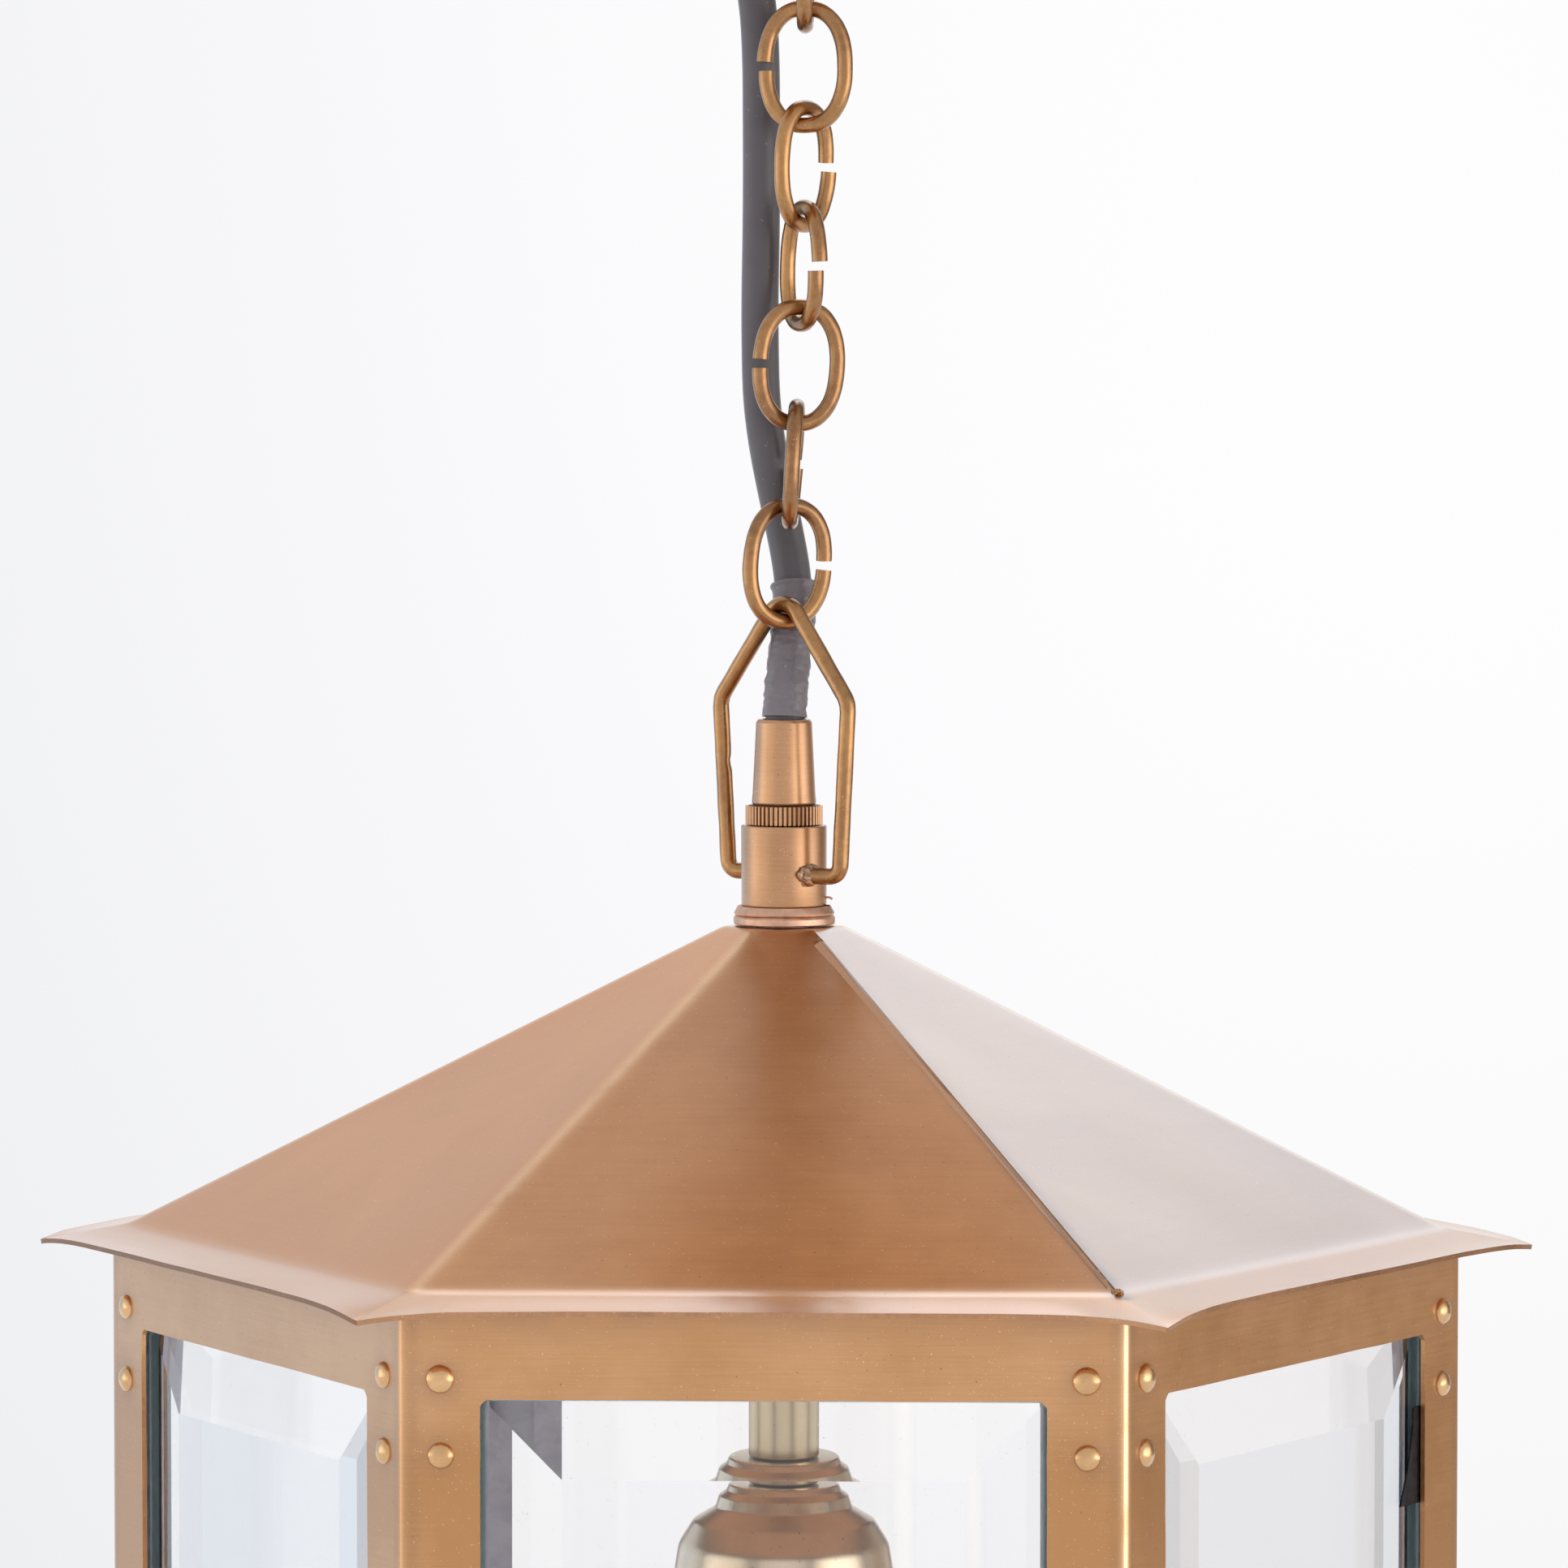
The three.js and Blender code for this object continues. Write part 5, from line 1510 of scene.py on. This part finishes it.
def frame_span(node):
    """(centre x, centre y, radius, lowest z, highest z) in millimetres from the ceiling."""
    low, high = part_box(node)
    x, y, radius = (low.x + high.x) / 2, (low.y + high.y) / 2, (high.x - low.x) / 2
    return x / MM, y / MM, radius / MM, low.z / MM, high.z / MM


def build_canopy():
    """A spun dish with a hole for the cable's bush."""
    _, _, radius, low, high = frame_span("canopy")
    wall = CANOPY_WALL
    foot = radius - CANOPY_SHOULDER
    outside = [
        (CANOPY_BORE, low, 0), (foot, low, 6), (radius - 3, low + 9, 22), (radius - 0.4, high - 3, 2),
        (radius, high - 1.2, 0.5), (radius, high, 0.3),
    ]
    inside = [
        (radius - wall, high, 0), (radius - wall - 0.4, high - 3, 2), (radius - 3 - wall, low + 9.5, 21),
        (foot - 0.3, low + wall, 5), (CANOPY_BORE, low + wall, 0),
    ]
    profile = section([*outside, *inside], steps=8)
    canopy = turned_piece("canopy_shell", profile, turned_brass, 128, hung=False)
    hole = [(0, low - 3), (GROMMET_HOLE, low - 3), (GROMMET_HOLE, low + 4), (0, low + 4)]
    combined(canopy, turned_piece("hole", hole, turned_brass, 32, GROMMET_PLACE, False), "DIFFERENCE")
    finished(canopy, "ceiling_fitting", "antique_brass", "canopy")


def build_grommet():
    """The rubber bush that lets the cable through the canopy."""
    x, y, radius, low, high = frame_span("cable_grommet")
    hole = CABLE_DIAMETER / 2 + GAP
    turned_part("cable_bush", "cable_rubber", "cable_grommet", [
        (hole, low, 0.3), (radius, low, 0.6), (radius, low + 1.2, 0.3), (GROMMET_NECK, low + 1.2, 0),
        (GROMMET_NECK, high - 1.2, 0), (radius, high - 1.2, 0.3), (radius, high, 0.6), (hole, high, 0.3),
    ], cable_rubber, "ceiling_fitting", segments=64, centre=(x, y), hung=False)


def build_ring_nut():
    """The nut under the canopy, with grooves for the fingers."""
    _, _, radius, low, high = frame_span("canopy_ring_nut")

    def groove(angle, z):
        return -0.5 * max(0, math.cos(NUT_GROOVES * angle)) ** 6 if low + 0.4 < z < high - 0.4 else 0

    turned_part("canopy_nut", "antique_brass", "canopy_ring_nut", [
        (CANOPY_BORE, low, 0), (radius - 1.2, low, 0.3), (radius, low + 1, 0.3), (radius, high - 0.5, 0.3),
        (radius - 0.5, high, 0.2), (CANOPY_BORE, high, 0),
    ], turned_brass, "ceiling_fitting", segments=144, hung=False, wobble=groove)


def build_stem():
    """The threaded stem: rings of points whose radius follows a helix."""
    radius, low, high = frame_span("hanger_stem")[2:]
    rows = round((high - low) / STEM_ROW)
    profile = [(radius, low + (high - low) * r / rows) for r in range(rows + 1)]
    profile += [(STEM_BORE, high), (STEM_BORE, low)]

    def thread(angle, z):
        return -0.3 * (0.5 - 0.5 * math.cos(2 * math.pi * z / STEM_PITCH + angle))

    stem = turned_piece("threaded_stem", profile, zinc, 40, hung=False, sharp=ROUND_SHARP, wobble=thread)
    finished(stem, "ceiling_fitting", "zinc_steel", "hanger_stem")


def build_hanger_loop():
    """A turned boss with a ring of wire brazed under it, which holds the top link."""
    low, high = (corner.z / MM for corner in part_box("hanger_loop"))
    foot = high - LOOP_BOSS
    boss = turned_piece("hanger_loop_ring", section([
        (0, high, 0), (4.4, high, 0), (6.3, high, 0.3), (6.5, high - 1, 0.3), (6.5, foot + 1.5, 1),
        (4.5, foot, 1), (0, foot, 0),
    ], closed=False), wire_brass, 96, hung=False)
    middle = low + LOOP_WIRE + LOOP_RADIUS
    steps, sides = 96, 24
    path = []
    for i in range(steps):
        angle = 2 * math.pi * i / steps
        path.append(Vector((LOOP_RADIUS * math.sin(angle), 0, middle + LOOP_RADIUS * math.cos(angle))))
    points, faces = tube_shape(path, LOOP_WIRE, sides)
    faces = faces[:-2] + ring_faces((steps - 1) * sides, 0, sides)
    ring = outward(new_mesh("ring", points, faces, [wire_brass], False, ROUND_SHARP))
    combined(boss, ring, "UNION")
    finished(boss, "ceiling_fitting", "antique_brass", "hanger_loop")


build_canopy()
build_grommet()
build_ring_nut()
build_stem()
build_hanger_loop()

# ---------------- small parts that keep their CAD shape


def dress(material, *nodes):
    """Give CAD nodes their finish."""
    for node in nodes:
        for slot in frame["nodes"][node].material_slots:
            slot.material = material


dress(tinned_sheet, "top_ring", *[f"corner_post_{k + 1}" for k in range(SIDES)])
dress(body_brass, "base_ring")
dress(zinc, "inner_washer", "lock_nut", "stem_nut", "ceiling_bracket", "threaded_nipple")
dress(satin_brass, "centre_contact")
dress(porcelain, "terminal_block")

# ---------------- studio


def build_world():
    """Even white light with soft patches, which the metal mirrors."""
    world = bpy.data.worlds.new("studio")
    world.use_nodes = True
    bpy.context.scene.world = world
    tree = Tree(world.node_tree)
    way = tree.add("ShaderNodeTexCoord", out="Generated")
    light = AMBIENT
    for azimuth, elevation, width, colour in LIGHTS:
        a, e = math.radians(azimuth), math.radians(elevation)
        centre = (math.sin(a) * math.cos(e), math.cos(a) * math.cos(e), math.sin(e))
        facing = tree.add("ShaderNodeVectorMath", {0: way, 1: centre}, out="Value", operation="DOT_PRODUCT")
        sharpness = math.log(2) / (1 - math.cos(math.radians(width)))
        strength = tree.math("EXPONENT", (facing - 1) * sharpness)
        glow = tree.add("ShaderNodeVectorMath", {0: colour, "Scale": strength}, operation="SCALE")
        light = tree.add("ShaderNodeVectorMath", {0: glow, 1: light}, operation="ADD")
    shader = tree.add("ShaderNodeBackground", {"Color": light, "Strength": 1.0})
    tree.add("ShaderNodeOutputWorld", {"Surface": shader})


def build_floor():
    """A round, plain pale floor far below the lantern."""
    material, tree, place = new_material("studio_floor")
    cloud = tree.noise(place, 3, 2)
    colour = tree.mixed(cloud, rgb(0.8, 0.79, 0.79), rgb(0.84, 0.83, 0.83))
    glow = {"Emission Color": rgb(1, 1, 1), "Emission Strength": 0.3}
    surface(tree, colour, 0.7 + 0.1 * cloud, [], glow)
    middle = Vector((0, 0, FLOOR_Z))
    count = 96
    rim = [middle + FLOOR_RADIUS * direction(2 * math.pi * i / count) for i in range(count)]
    points = [point / MM for point in (middle, *rim)]
    faces = [[0, 1 + i, 1 + (i + 1) % count] for i in range(count)]
    new_mesh("floor", points, faces, [material], False)


build_world()
build_floor()
bpy.context.scene.view_settings.view_transform = "Standard"
